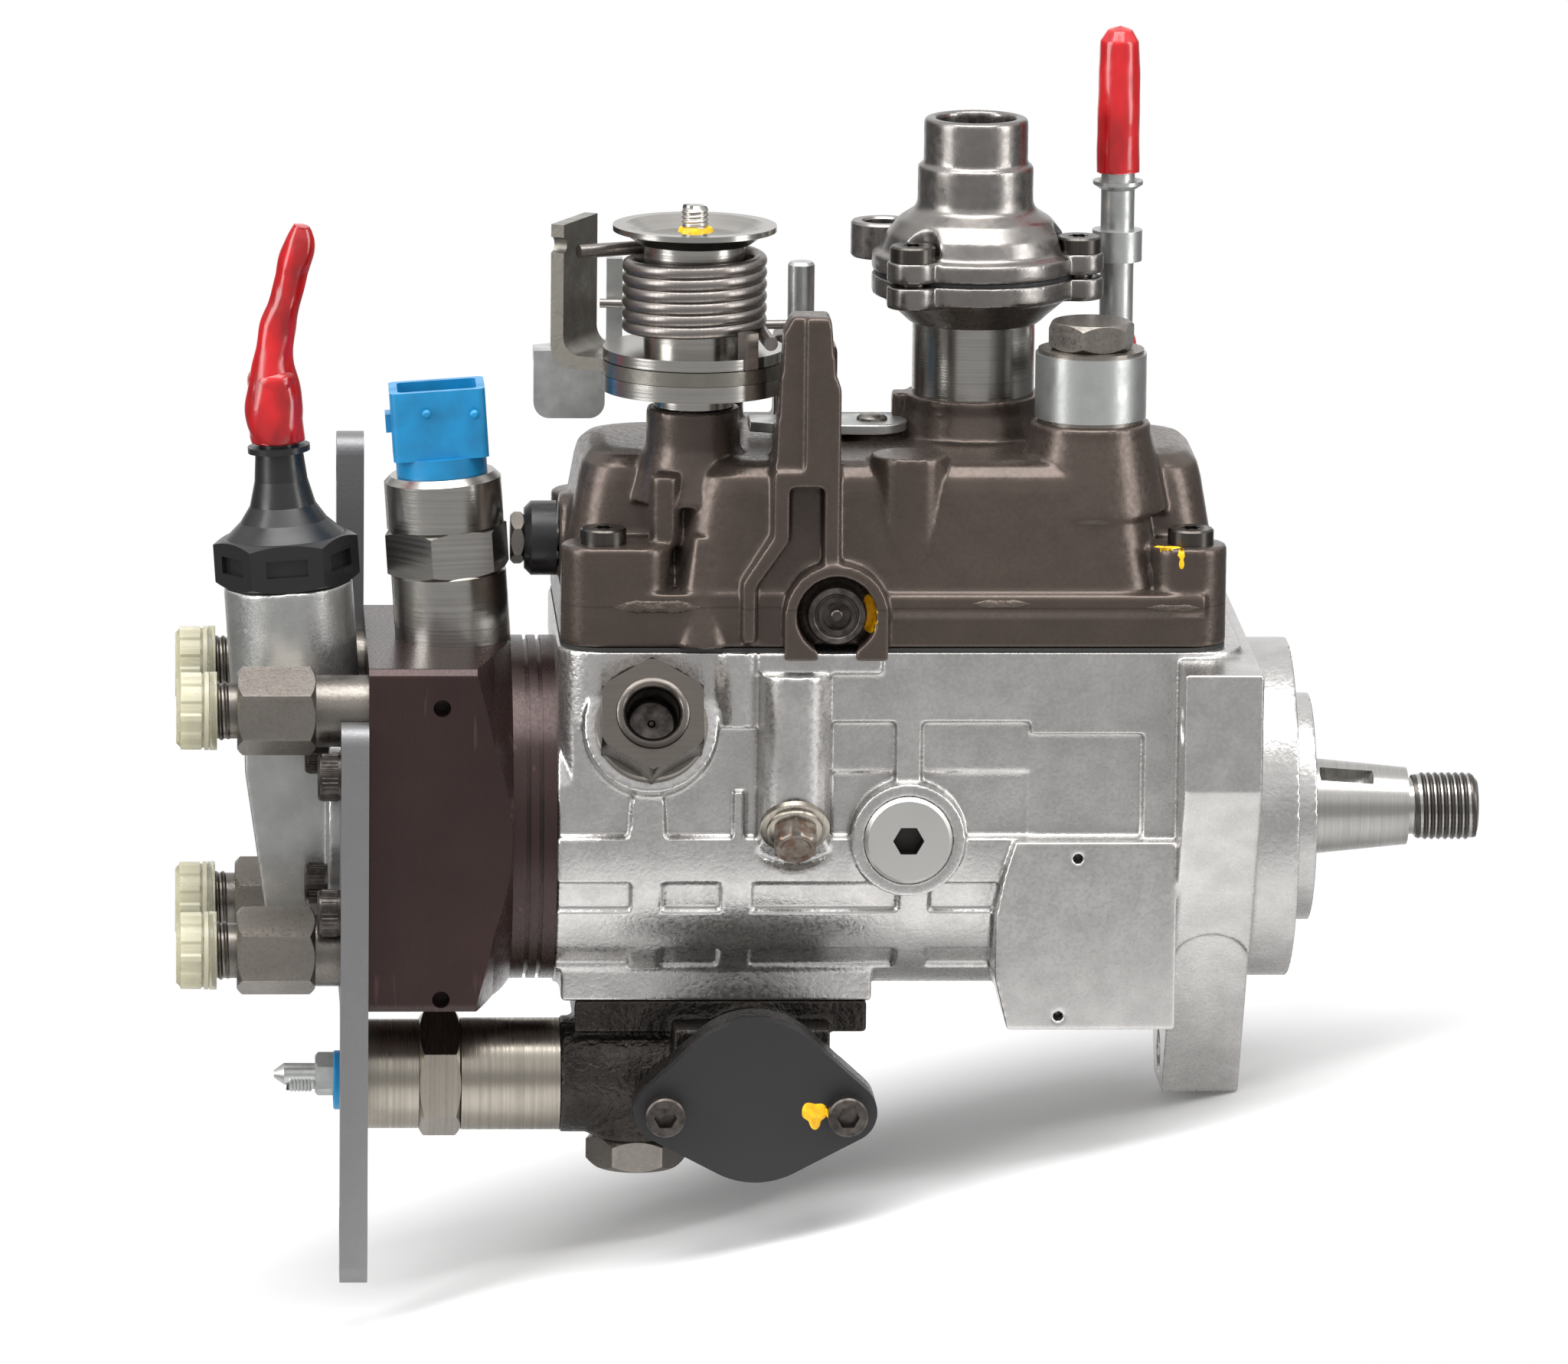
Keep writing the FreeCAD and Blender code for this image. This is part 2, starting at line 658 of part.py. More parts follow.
def pump_housing():
    """The aluminium casting from the head joint to the drive flange."""
    body = upright(BODY_LEFT, RING_LEFT - 3, -BODY_HALF, BODY_HALF, 0, JOINT_Z, CORNER_R)
    body = body.fuse(bar_x(BODY_HALF, BODY_LEFT, EAR_LEFT + 2))
    body = housing_upper(housing_side(body))
    adds = [flange(),
            block(BODY_LEFT + 1.5, PAD_RIGHT, -PAD_HALF, PAD_HALF, PAD_Z, -BODY_HALF / 2),
            upright(BODY_LEFT, RING_LEFT - 3, COVER_NEAR, COVER_FAR, JOINT_Z - 9, JOINT_Z, CORNER_R),
            bar_y(PLUG_BOSS_R, PLUG_FACE_Y + 0.6, -(CHAMBER_R - 4), PLUG_X, PLUG_Z),
            bar(PORT_BOSS_R, port_frame(PORT_HEX_LEN), port_frame(PORT_HEX_LEN + 14)),
            bar_z(TUBE_R, TUBE_BOTTOM, TUBE_TOP, TUBE_X, TUBE_Y),
            slab([(PLATE_FLAT_LEFT + 4.1, PLATE_FLAT_TOP), (PLATE_FLAT_RIGHT, PLATE_FLAT_TOP),
                  (PLATE_FLAT_RIGHT, PLATE_FLAT_BOTTOM), (PLATE_FLAT_LEFT + 2.8, PLATE_FLAT_BOTTOM),
                  (PLATE_FLAT_LEFT, PLATE_FLAT_BOTTOM * 0.72), (PLATE_FLAT_LEFT, PLATE_FLAT_BOTTOM * 0.4),
                  (PLATE_FLAT_LEFT + 1.8, PLATE_FLAT_TOP - 7.6)],
                 -PLATE_FLAT_Y - 12, V(0, -12, 0), X_AXIS, Z_AXIS)]
    adds += housing_ribs()
    body = tidy(body.fuse(adds))
    chamber = bar_x(CHAMBER_R, BODY_LEFT - 1, CAM_X + CAM_WIDTH + 16)
    cuts = [chamber,
            bar_x(GOV_CHAMBER_R, -90, CAGE_RIGHT + CLEAR * 4),
            bar_x(BUSH_R + PUSH_FIT, CAGE_RIGHT, PILOT_LEN + 1),
            bar_x(SEAL_R + PUSH_FIT, PILOT_LEN - 2 * SEAL_WIDTH - 1.5, PILOT_LEN + 1),
            block(WELL_LEFT, WELL_RIGHT, -WELL_HALF, WELL_HALF, 4.0, JOINT_Z + 1),
            block(CAM_X - STUD_CAM_R - 2, CAM_X + STUD_CAM_R + 2, -11.0, 11.0, PAD_Z - 1, -(CHAMBER_R - 4)),
            bar_y(2.0 + PUSH_FIT, -WELL_HALF - 5, WELL_HALF + 5, ARM_X, ARM_PIVOT_Z),
            bar(PORT_SHANK_R + PUSH_FIT, port_frame(0), port_frame(PORT_HEX_LEN + 11)),
            bar(PORT_SPOT_R, port_frame(0), port_frame(PORT_HEX_LEN)),
            bar_y(PLUG_R + PUSH_FIT, PLUG_FACE_Y - 1, PLUG_FACE_Y + 3, PLUG_X, PLUG_Z),
            bar_y(5.0 + PUSH_FIT, PLUG_FACE_Y - 1, PLUG_FACE_Y + 9, PLUG_X, PLUG_Z)]
    cuts += [bar_x(EAR_HOLE_R, EAR_LEFT - 4, RING_LEFT + 1, y, z) for y, z in ear_spots()]
    cuts += [bar_z(TORX_SHANK_R + PUSH_FIT, JOINT_Z - 14, JOINT_Z + 1, x, y)
             for x, y in cover_screw_spots()]
    seat, axis = lock_seat(), lock_axis()
    cuts.append(bar(TUBE_R * 1.4, seat, seat.add(axis * 12)))
    cuts.append(bar(2.5 + PUSH_FIT, seat.sub(axis * 9), seat.add(axis * 2)))
    cuts += [bar_y(1.1, PLATE_FLAT_Y - 1, PLATE_FLAT_Y + 5, x, z)
             for x, z in ((-48.6, -3.0), (-52.5, -38.0))]
    cuts.append(block(COVER_LEFT, COVER_RIGHT + SEAT, COVER_NEAR - 2, COVER_FAR + 2,
                      JOINT_Z, CROWN_Z))
    return tidy(body.cut(cuts))


def drive_bush():
    """The plain bearing of the drive shaft."""
    right = PILOT_LEN - 2 * SEAL_WIDTH - 2
    left = right - BUSH_LEN
    return bar_x(BUSH_R, left, right).cut(bar_x(JOURNAL_R + RUN_FIT, left - 1, right + 1))


def shaft_seals():
    """Two lip seals behind the pilot."""
    rings = []
    for k in range(2):
        right = PILOT_LEN - 0.5 - k * SEAL_WIDTH
        left = right - SEAL_WIDTH + 0.2
        lip = turned([(0, JOURNAL_R + RUN_FIT), (1.2, JOURNAL_R + RUN_FIT), (2.0, JOURNAL_R + 3),
                      (right - left, JOURNAL_R + 4), (right - left, SEAL_R), (0, SEAL_R)],
                     V(left, 0, 0), X_AXIS)
        rings.append(lip)
    return Part.Compound(rings)


def drive_shaft():
    """The shaft from the nut thread to the tongue that turns the pump rotor."""
    taper_end = TAPER_START + TAPER_LEN
    thread_start = taper_end + NECK_LEN
    chamfer = 1.2
    tongue_root = CAM_X + CAM_WIDTH / 2 + 6
    profile = [(tongue_root, 0), (tongue_root, INNER_SHAFT_R), (CAGE_RIGHT, INNER_SHAFT_R),
               (CAGE_RIGHT, 14.0), (CAGE_RIGHT + 5, 14.0), (CAGE_RIGHT + 5, JOURNAL_R),
               (TAPER_START, JOURNAL_R), (taper_end, TAPER_SMALL_R), (taper_end, NECK_R),
               (thread_start, NECK_R), (thread_start, THREAD_R - 0.8),
               (thread_start + 0.8, THREAD_R), (SHAFT_END - chamfer, THREAD_R),
               (SHAFT_END, THREAD_R - chamfer), (SHAFT_END, 0)]
    shaft = turned(profile, V(0, 0, 0), X_AXIS)
    key_x = TAPER_START + KEY_FROM_TAPER
    key_centre = JOURNAL_R + KEY_CUTTER_R - KEY_DEPTH
    cutter = bar(KEY_CUTTER_R, V(key_x, -key_centre, -KEY_WIDTH / 2), V(key_x, -key_centre, KEY_WIDTH / 2))
    cutter.rotate(V(0, 0, 0), X_AXIS, KEY_ANGLE)
    tongue = block(tongue_root - 7, tongue_root + 0.5, -2.9, 2.9, -6.5, 6.5)
    return shaft.cut(cutter).fuse(tongue)


def governor_cage():
    """The weight carrier pressed on the shaft: a web and arms between the weight pockets."""
    web_left = CAGE_RIGHT - CAGE_WEB
    cage = bar_x(CAGE_R, CAGE_LEFT, CAGE_RIGHT)
    pocket = WEIGHT_WIDTH / 2 + CLEAR
    reach = CAGE_R + 1
    cuts = [bar_x(GOV_FLANGE_R + CLEAR, CAGE_LEFT - 1, web_left),
            bar_x(INNER_SHAFT_R + PUSH_FIT, CAGE_LEFT, CAGE_RIGHT + 1),
            block(CAGE_LEFT - 1, web_left, -pocket, pocket, -reach, reach)]
    pins = [bar_y(1.5, -pocket - 2, pocket + 2, WEIGHT_PIVOT_X, side * WEIGHT_PIVOT_R)
            for side in (-1, 1)]
    return cage.cut(cuts).fuse(pins)


def governor_weight(side):
    """One flyweight: it swings out about its pin and its toe pushes the sleeve back."""
    half = WEIGHT_WIDTH / 2
    outline = [(WEIGHT_LEFT, WEIGHT_INNER_R), (WEIGHT_PIVOT_X - TOE_HALF, WEIGHT_INNER_R),
               (WEIGHT_PIVOT_X - TOE_HALF, TOE_R), (WEIGHT_PIVOT_X + TOE_HALF, TOE_R),
               (WEIGHT_PIVOT_X + 2.8, WEIGHT_PIVOT_R + 2.5),
               (WEIGHT_PIVOT_X - 2, WEIGHT_OUTER_R), (WEIGHT_LEFT, WEIGHT_OUTER_R)]
    points = [(x, side * z) for x, z in outline]
    weight = slab(points, WEIGHT_WIDTH, V(0, half, 0), X_AXIS, Z_AXIS)
    pin = bar_y(1.5 + RUN_FIT, -half - 1, half + 1, WEIGHT_PIVOT_X, side * WEIGHT_PIVOT_R)
    return weight.cut(pin)


def governor_sleeve():
    """The thrust sleeve that slides on the shaft."""
    right = WEIGHT_PIVOT_X - TOE_HALF - ARM_NOSE_GAP
    left = ARM_X + ARM_THICK / 2 + ARM_NOSE + ARM_NOSE_GAP
    wall = INNER_SHAFT_R + SLEEVE_BORE_WALL
    return turned([(left, INNER_SHAFT_R + RUN_FIT), (left, GOV_FLANGE_R), (left + 2, GOV_FLANGE_R),
                   (left + 2, wall), (right - 2.4, wall), (right - 2.4, GOV_FLANGE_R - 0.6),
                   (right, GOV_FLANGE_R - 0.6), (right, INNER_SHAFT_R + RUN_FIT)],
                  V(0, 0, 0), X_AXIS)


def governor_arm():
    """The fork that the sleeve tilts, with its pivot pin across the housing well."""
    left, right = ARM_X - ARM_THICK / 2, ARM_X + ARM_THICK / 2
    legs = [block(left, right, y, y + 4.0, -4.0, ARM_PIVOT_Z - 4) for y in (-13.0, 9.0)]
    legs += [block(right - 1, right + ARM_NOSE, y, y + 4.0, -2.0, 2.0) for y in (-13.0, 9.0)]
    bridge = block(left, right, -13.0, 13.0, ARM_PIVOT_Z - 6, ARM_PIVOT_Z + 6)
    stem = block(left, right, -4.0, 4.0, ARM_PIVOT_Z + 4, ARM_TOP)
    hook = block(left, right, -4.0, LINK_Y + 3, LINK_Z - 4, ARM_TOP)
    hub = bar_y(4.0, -13.0, 13.0, ARM_X, ARM_PIVOT_Z)
    pin = bar_y(2.0, -WELL_HALF - 4, WELL_HALF + 4, ARM_X, ARM_PIVOT_Z)
    return tidy(bridge.fuse(legs + [stem, hook, hub, pin]))


def governor_link():
    """The rod from the arm to the metering valve, with an eye at each end."""
    right = ARM_X - ARM_THICK / 2 - LINK_GAP
    left = VALVE_X + 2 + LINK_GAP
    rod = bar_x(LINK_R, left, right, LINK_Y, LINK_Z)
    ends = [bar_x(LINK_R * 1.8, x, x + 2, LINK_Y, LINK_Z) for x in (left, right - 2)]
    return rod.fuse(ends)


def metering_valve():
    """The valve in the head that the governor turns to set the fuel."""
    stem = bar_z(VALVE_R, VALVE_BOTTOM, LINK_Z + 2, VALVE_X, 0)
    groove = bar_z(VALVE_R + 1, VALVE_BOTTOM + 8, VALVE_BOTTOM + 11, VALVE_X, 0)
    groove = groove.cut(bar_z(VALVE_R - 0.8, VALVE_BOTTOM + 7, VALVE_BOTTOM + 12, VALVE_X, 0))
    lever = block(VALVE_X - 2, VALVE_X + 2, 0, LINK_Y + 2, LINK_Z - 2, LINK_Z + 2)
    return stem.cut(groove).fuse(lever)


def hydraulic_head():
    """The steel head: a square block turned down to a neck and a spigot in the housing."""
    turn_end = HEAD_SQUARE_RIGHT + HEAD_TURN_LEN
    square = block(HEAD_LEFT, turn_end, -HEAD_HALF, HEAD_HALF, -HEAD_HALF, HEAD_HALF)
    square = softened(square, 2.0, lambda e: near(abs(e.CenterOfMass.y), HEAD_HALF)
                      and near(abs(e.CenterOfMass.z), HEAD_HALF))
    corner = HEAD_HALF * math.sqrt(2)
    envelope = turned([(HEAD_LEFT, 0), (HEAD_LEFT, corner - 1), (HEAD_SQUARE_RIGHT - 2, corner - 1),
                       (HEAD_SQUARE_RIGHT + 2, HEAD_HALF + 5), (turn_end, NECK_RING_R),
                       (turn_end, 0)], V(0, 0, 0), X_AXIS)
    neck = turned([(turn_end, 0), (turn_end, NECK_RING_R), (-168.2, NECK_RING_R),
                   (-168.2, NECK_RING_R - 1), (-167.2, NECK_RING_R - 1), (-167.2, NECK_RING_R),
                   (-165.4, NECK_RING_R), (-165.4, NECK_RING_R - 1), (-164.4, NECK_RING_R - 1),
                   (-164.4, NECK_RING_R), (BODY_LEFT, NECK_RING_R),
                   (BODY_LEFT, CHAMBER_R - PUSH_FIT), (SPIGOT_END, CHAMBER_R - PUSH_FIT),
                   (SPIGOT_END, 0)], V(0, 0, 0), X_AXIS)
    head = square.common(envelope).fuse(neck)
    cuts = [bar_x(SLEEVE_R + PUSH_FIT, HEAD_LEFT - 1, SPIGOT_END + 1),
            bar_z(VALVE_R + RUN_FIT, VALVE_BOTTOM, CHAMBER_R + 5, VALVE_X, 0)]
    for y, z in outlet_spots():
        cuts.append(bar_x(OUTLET_SHANK_R + PUSH_FIT, HEAD_LEFT - 1, HEAD_LEFT + OUTLET_SEAT_DEPTH, y, z))
    cuts += [bar_y(HEAD_HOLE_R, -HEAD_HALF - 1, -HEAD_HALF + 8, -186.6, z) for z in (29.5, -35.0)]
    cuts += [bar_x(CAP_SCREW_R + PUSH_FIT, HEAD_LEFT - 1, HEAD_LEFT + 8, y, z)
             for y, z in end_screw_spots()]
    cuts += [bar_x(BRACKET_SCREW_R + PUSH_FIT, HEAD_LEFT - 1, HEAD_LEFT + 8, y, z)
             for y, z in bracket_screw_spots()]
    cuts.append(bar(SOLENOID_R + PUSH_FIT, solenoid_point(0.0), solenoid_point(SOLENOID_SEAT + 2)))
    cuts.append(bar(PLUNGER_R + 1.5, solenoid_point(-8.0), solenoid_point(1.0)))
    return tidy(head.cut(cuts))


def outlet_spots():
    return [(sy * OUTLET_Y, sz * OUTLET_Z) for sy in (-1, 1) for sz in (-1, 1)]


def end_screw_spots():
    return [(sy * COVER_SCREW_Y, sz * COVER_SCREW_Z) for sy in (-1, 1) for sz in (-1, 1)]


def bracket_screw_spots():
    return [(sy * BRACKET_SCREW_Y, z) for sy in (-1, 1) for z in (BRACKET_SCREW_HIGH, BRACKET_SCREW_LOW)]


def head_sleeve():
    """The hardened sleeve that the rotor turns in, with its radial ports."""
    left, right = HEAD_LEFT + 8, SPIGOT_END
    sleeve = bar_x(SLEEVE_R, left, right).cut(bar_x(ROTOR_R + RUN_FIT, left - 1, right + 1))
    ports = [bar(1.5, V(left + 20, 0, 0), V(left + 20, y, z)) for y, z in outlet_spots()]
    return sleeve.cut(ports)


def pump_rotor():
    """The distributor rotor: drive slot, pumping head with its cross bore, and long shank."""
    right = CAM_X + CAM_WIDTH / 2 + 4
    head_left = SPIGOT_END + CLEAR
    vane_end = HEAD_LEFT + SEAT + TRANSFER_LEN - 0.1
    rotor = turned([(vane_end, 0), (vane_end, 5.0), (HEAD_LEFT + 9, 5.0),
                    (HEAD_LEFT + 9, ROTOR_R), (head_left, ROTOR_R),
                    (head_left, 15.0), (right, 15.0), (right, 0)], V(0, 0, 0), X_AXIS)
    cuts = [bar_z(3.5 + RUN_FIT, -16, 16, CAM_X, 0),
            bar_x(1.2, HEAD_LEFT + 25, CAM_X),
            block(right - 5.5, right + 1, -2.95, 2.95, -16, 16)]
    for side in (-1, 1):
        z0, z1 = sorted((side * 10.9, side * 16))
        cuts.append(block(CAM_X - 6.1, CAM_X + 6.1, -5.1, 5.1, z0, z1))
    return rotor.cut(cuts)


def pumping_pieces():
    """Two opposed plungers with their shoes and rollers inside the cam ring."""
    pieces = []
    for side in (-1, 1):
        z0, z1 = sorted((side * 2.0, side * 10.9))
        pieces.append(bar_z(3.5, z0, z1, CAM_X, 0))
        z0, z1 = sorted((side * 11.0, side * 17.0))
        shoe = block(CAM_X - 6, CAM_X + 6, -5, 5, z0, z1)
        pieces.append(shoe.cut(bar_x(3.5 + RUN_FIT, CAM_X - 7, CAM_X + 7, 0, side * 18.4)))
        pieces.append(bar_x(3.5, CAM_X - 6, CAM_X + 6, 0, side * 18.4))
    return Part.Compound(pieces)


def cam_ring():
    """The ring with four inner lobes, and the stud that the advance piston pushes."""
    left, right = CAM_X - CAM_WIDTH / 2, CAM_X + CAM_WIDTH / 2
    ring = bar_x(CHAMBER_R - CLEAR, left, right)
    cuts = [bar_x(CAM_BASE_R, left - 1, right + 1)]
    for k in range(4):
        angle = math.radians(45 + 90 * k)
        cuts.append(bar_x(CAM_LOBE_R, left - 1, right + 1, CAM_LOBE_CENTRE * math.cos(angle),
                          CAM_LOBE_CENTRE * math.sin(angle)))
    stud = bar_z(STUD_CAM_R, ADVANCE_Z - 4, -(CHAMBER_R - 6), CAM_X, 0)
    return ring.cut(cuts).fuse(stud)


def transfer_pump():
    """The eccentric liner and the four-vane rotor of the low pressure pump."""
    left = HEAD_LEFT + SEAT
    right = left + TRANSFER_LEN
    liner = bar_x(SLEEVE_R, left, right)
    liner = liner.cut(bar_x(TRANSFER_BORE_R, left - 1, right + 1, TRANSFER_OFFSET))
    reach = TRANSFER_BORE_R - TRANSFER_OFFSET - SEAT
    rotor = bar_x(TRANSFER_ROTOR_R, left + 0.2, right - 0.2)
    vanes = []
    for k in range(4):
        vane = block(left + 0.2, right - 0.2, reach - 6, reach, -0.75, 0.75)
        vane.rotate(V(0, 0, 0), X_AXIS, 90 * k + 45)
        vanes.append(vane)
    return liner, Part.Compound([rotor.cut(vanes)] + vanes)


def delivery_valve_holders():
    """Four hexagon holders screwed into the rear of the head, threaded for the pipe nuts."""
    holders = []
    hex_right = HEAD_LEFT - OUTLET_BARREL_LEN
    hex_left = hex_right - OUTLET_HEX_LEN
    end = hex_left - OUTLET_THREAD_LEN
    for y, z in outlet_spots():
        core = turned([(end, 1.6), (end, OUTLET_THREAD_R - 0.8), (end + 0.8, OUTLET_THREAD_R),
                       (hex_left + 0.5, OUTLET_THREAD_R), (hex_left + 0.5, OUTLET_BARREL_R),
                       (HEAD_LEFT, OUTLET_BARREL_R), (HEAD_LEFT, OUTLET_SHANK_R),
                       (HEAD_LEFT + OUTLET_SEAT_DEPTH - 1, OUTLET_SHANK_R),
                       (HEAD_LEFT + OUTLET_SEAT_DEPTH - 1, 1.6)], V(0, y, z), X_AXIS)
        nut = hexagon(OUTLET_FLATS, V(hex_right, y, z), OUTLET_HEX_LEN, V(-1, 0, 0), 0, 1.2)
        nut = nut.cut(bar_x(OUTLET_THREAD_R - 1, hex_left - 1, hex_right + 1, y, z))
        holders.append(tidy(core.fuse(nut)))
    return Part.Compound(holders)


def outlet_caps():
    """Push-on plastic caps over the four pipe threads."""
    right = HEAD_LEFT - OUTLET_BARREL_LEN - OUTLET_HEX_LEN - OUTLET_CAP_GAP
    left = right - CAP_LEN
    caps = []
    for y, z in outlet_spots():
        caps.append(turned([(left, 0), (left, CAP_R - 1.0), (left + 1.0, CAP_R),
                            (right - 1.6, CAP_R), (right - 1.6, CAP_R + 0.5), (right, CAP_R + 0.5),
                            (right, OUTLET_THREAD_R + PUSH_FIT),
                            (left + CAP_WALL, OUTLET_THREAD_R + PUSH_FIT), (left + CAP_WALL, 0)],
                           V(0, y, z), X_AXIS))
    return Part.Compound(caps)


def end_bracket():
    """The flat steel bracket clamped to the rear face of the head."""
    inner = PLATE_HALF - PLATE_ARM
    outline = [(-PLATE_HALF, PLATE_NEAR_TOP), (-PLATE_HALF, PLATE_FOOT_Z), (-inner, PLATE_FOOT_Z),
               (-inner, PLATE_BRIDGE_BOTTOM), (PLATE_HALF, PLATE_BRIDGE_BOTTOM),
               (PLATE_HALF, PLATE_FAR_TOP), (inner, PLATE_FAR_TOP), (inner, PLATE_BRIDGE_TOP),
               (-inner, PLATE_BRIDGE_TOP), (-inner, PLATE_NEAR_TOP)]
    plate = slab(outline, PLATE_THICK, V(PLATE_LEFT, 0, 0), Y_AXIS, Z_AXIS)
    ends = (PLATE_NEAR_TOP, PLATE_FAR_TOP, PLATE_FOOT_Z, PLATE_BRIDGE_BOTTOM)

    def outer_corner(edge):
        middle = edge.CenterOfMass
        along_x = near(abs(edge.Length), PLATE_THICK) and near(middle.x, PLATE_LEFT + PLATE_THICK / 2)
        return along_x and any(near(middle.z, z) for z in ends)

    plate = softened(plate, PLATE_ARM * 0.4, outer_corner)
    cuts = [bar_x(COVER_DISC_R + SEAT, PLATE_LEFT - 1, HEAD_LEFT + 1)]
    cuts += [bar_x(OUTLET_BARREL_R + SEAT, PLATE_LEFT - 1, HEAD_LEFT + 1, y, z)
             for y, z in outlet_spots()]
    cuts += [bar_x(BRACKET_SCREW_R + PUSH_FIT, PLATE_LEFT - 1, HEAD_LEFT + 1, y, z)
             for y, z in bracket_screw_spots()]
    cuts += [bar_x(4.5, PLATE_LEFT - 1, HEAD_LEFT + 1, side * (PLATE_HALF - PLATE_ARM / 2), z)
             for side, z in ((-1, PLATE_FOOT_Z + 12), (1, PLATE_FAR_TOP - 9))]
    return tidy(plate.cut(cuts))


def pump_end_cover():
    """The aluminium end cover over the transfer pump, with the leaning fuel inlet."""
    left = HEAD_LEFT - COVER_DISC_LEN
    disc = bar_x(COVER_DISC_R, left, HEAD_LEFT)
    top = V(INLET_X, 0, INLET_TOP_Z)
    barrel = bar(INLET_R, top.sub(LEAN_AXIS * 24), top)
    outline = [(INLET_X - 9.5, 30.0), (INLET_X - 9.4, 9.0), (INLET_X - 4.5, INLET_ARM_BOTTOM),
               (INLET_X + 5.0, INLET_ARM_BOTTOM), (left + 1.0, INLET_ARM_BOTTOM + 4.0),
               (left + 1.0, 20.0), (INLET_X + 12.0, 34.0)]
    arm = slab(outline, 2 * INLET_ARM_HALF, V(0, INLET_ARM_HALF, 0), X_AXIS, Z_AXIS)
    body = disc.fuse([barrel, arm])
    cuts = [bar(INLET_BORE_R, top.sub(LEAN_AXIS * 30), top.add(LEAN_AXIS * 1))]
    cuts += [bar_x(CAP_SCREW_R + PUSH_FIT, left - 1, HEAD_LEFT + 1, y, z) for y, z in end_screw_spots()]
    return tidy(body.cut(cuts))


def head_screws():
    """Socket screws of the end cover and of the bracket."""
    screws = [cap_screw(V(HEAD_LEFT - COVER_DISC_LEN, y, z), X_AXIS, COVER_DISC_LEN + 7)
              for y, z in end_screw_spots()]
    screws += [socket_screw(V(PLATE_LEFT, y, z), X_AXIS, PLATE_THICK + 7, BRACKET_SCREW_R,
                            BRACKET_HEAD_R, BRACKET_HEAD_LEN, 2.5)
               for y, z in bracket_screw_spots()]
    return Part.Compound(screws)


def inlet_point(height):
    return V(INLET_X, 0, INLET_TOP_Z).add(LEAN_AXIS * height)


def inlet_plastic_cap():
    """The black moulded hexagon cap on the inlet, drawn out to a pipe stub."""
    skirt = hexagon(27.4, inlet_point(0.0), 10.7, LEAN_AXIS, 0, 1.2)
    body = turned([(0, 0), (0, 13.0), (10.7, 13.0), (14.0, 9.5), (17.5, 7.2), (23.0, 5.8),
                   (29.3, 5.2), (29.3, 6.8), (30.6, 6.8), (30.6, 4.4), (46.0, 4.0), (46.0, 0)],
                  inlet_point(0.0), LEAN_AXIS)
    slots = []
    for k in range(6):
        slot = block(12.6, 15.0, -4.5, 4.5, 3.6, 7.4)
        slot.rotate(V(0, 0, 0), Z_AXIS, 60 * k + 30)
        slots.append(slot)
    slots = placed(Part.Compound(slots), inlet_point(0.0), LEAN_AXIS)
    plug = bar(INLET_BORE_R - PUSH_FIT, inlet_point(-6.0), inlet_point(0.0))
    return skirt.fuse([body, plug]).cut(slots)


def circle_at(point, axis, radius):
    return Part.Wire(Part.Circle(point, axis, radius).toShape())


def inlet_hose_cap():
    """The bent vinyl cap pulled over the stub of the black cap."""
    base = inlet_point(30.6)
    spine = [(base, LEAN_AXIS, 6.1), (base.add(V(-1.4, 0, 17)), V(0, 0, 1), 6.0),
             (base.add(V(0.4, 0, 28)), V(0.3, 0, 0.95), 4.9),
             (base.add(V(3.0, 0, 38)), V(0.12, 0, 1), 4.9),
             (base.add(V(4.9, 0, 49.5)), V(0.15, 0, 1), 2.4)]
    cap = Part.makeLoft([circle_at(*station) for station in spine], True)
    return cap.cut(bar(4.4 + PUSH_FIT, inlet_point(30.0), inlet_point(46.3)))


def solenoid_point(height):
    """A point on the leaning solenoid axis, measured from the bottom of its seat."""
    return V(SOLENOID_X, 0, HEAD_HALF).add(LEAN_AXIS * (height - SOLENOID_SEAT))


def solenoid_body():
    """The steel case of the stop solenoid."""
    hex_low = SOLENOID_SEAT + SOLENOID_LOW
    hex_high = hex_low + SOLENOID_HEX
    top = hex_high + SOLENOID_HIGH
    case = turned([(0, PLUNGER_R + RUN_FIT), (0, SOLENOID_R), (hex_low, SOLENOID_R),
                   (hex_low + 0.6, SOLENOID_R - 1.0), (hex_high - 0.6, SOLENOID_R - 1.0),
                   (hex_high, SOLENOID_R + 0.2), (top - 1.4, SOLENOID_R + 0.2),
                   (top, SOLENOID_R - 1.2), (top, 0), (PLUNGER_LEN + 4, 0),
                   (PLUNGER_LEN + 4, PLUNGER_R + RUN_FIT)], solenoid_point(0.0), LEAN_AXIS)
    nut = hexagon(SOLENOID_FLATS, solenoid_point(hex_low), SOLENOID_HEX, LEAN_AXIS, 15, 1.0)
    nut = nut.cut(bar(SOLENOID_R - 2, solenoid_point(0.0), solenoid_point(top + 1)))
    return case.fuse(nut)


def solenoid_plunger():
    """The plunger that shuts the fuel passage when the solenoid is off."""
    return turned([(-5.0, 0), (-5.0, 1.4), (-2.0, PLUNGER_R), (PLUNGER_LEN - 5, PLUNGER_R),
                   (PLUNGER_LEN - 5, 0)], solenoid_point(0.0), LEAN_AXIS)


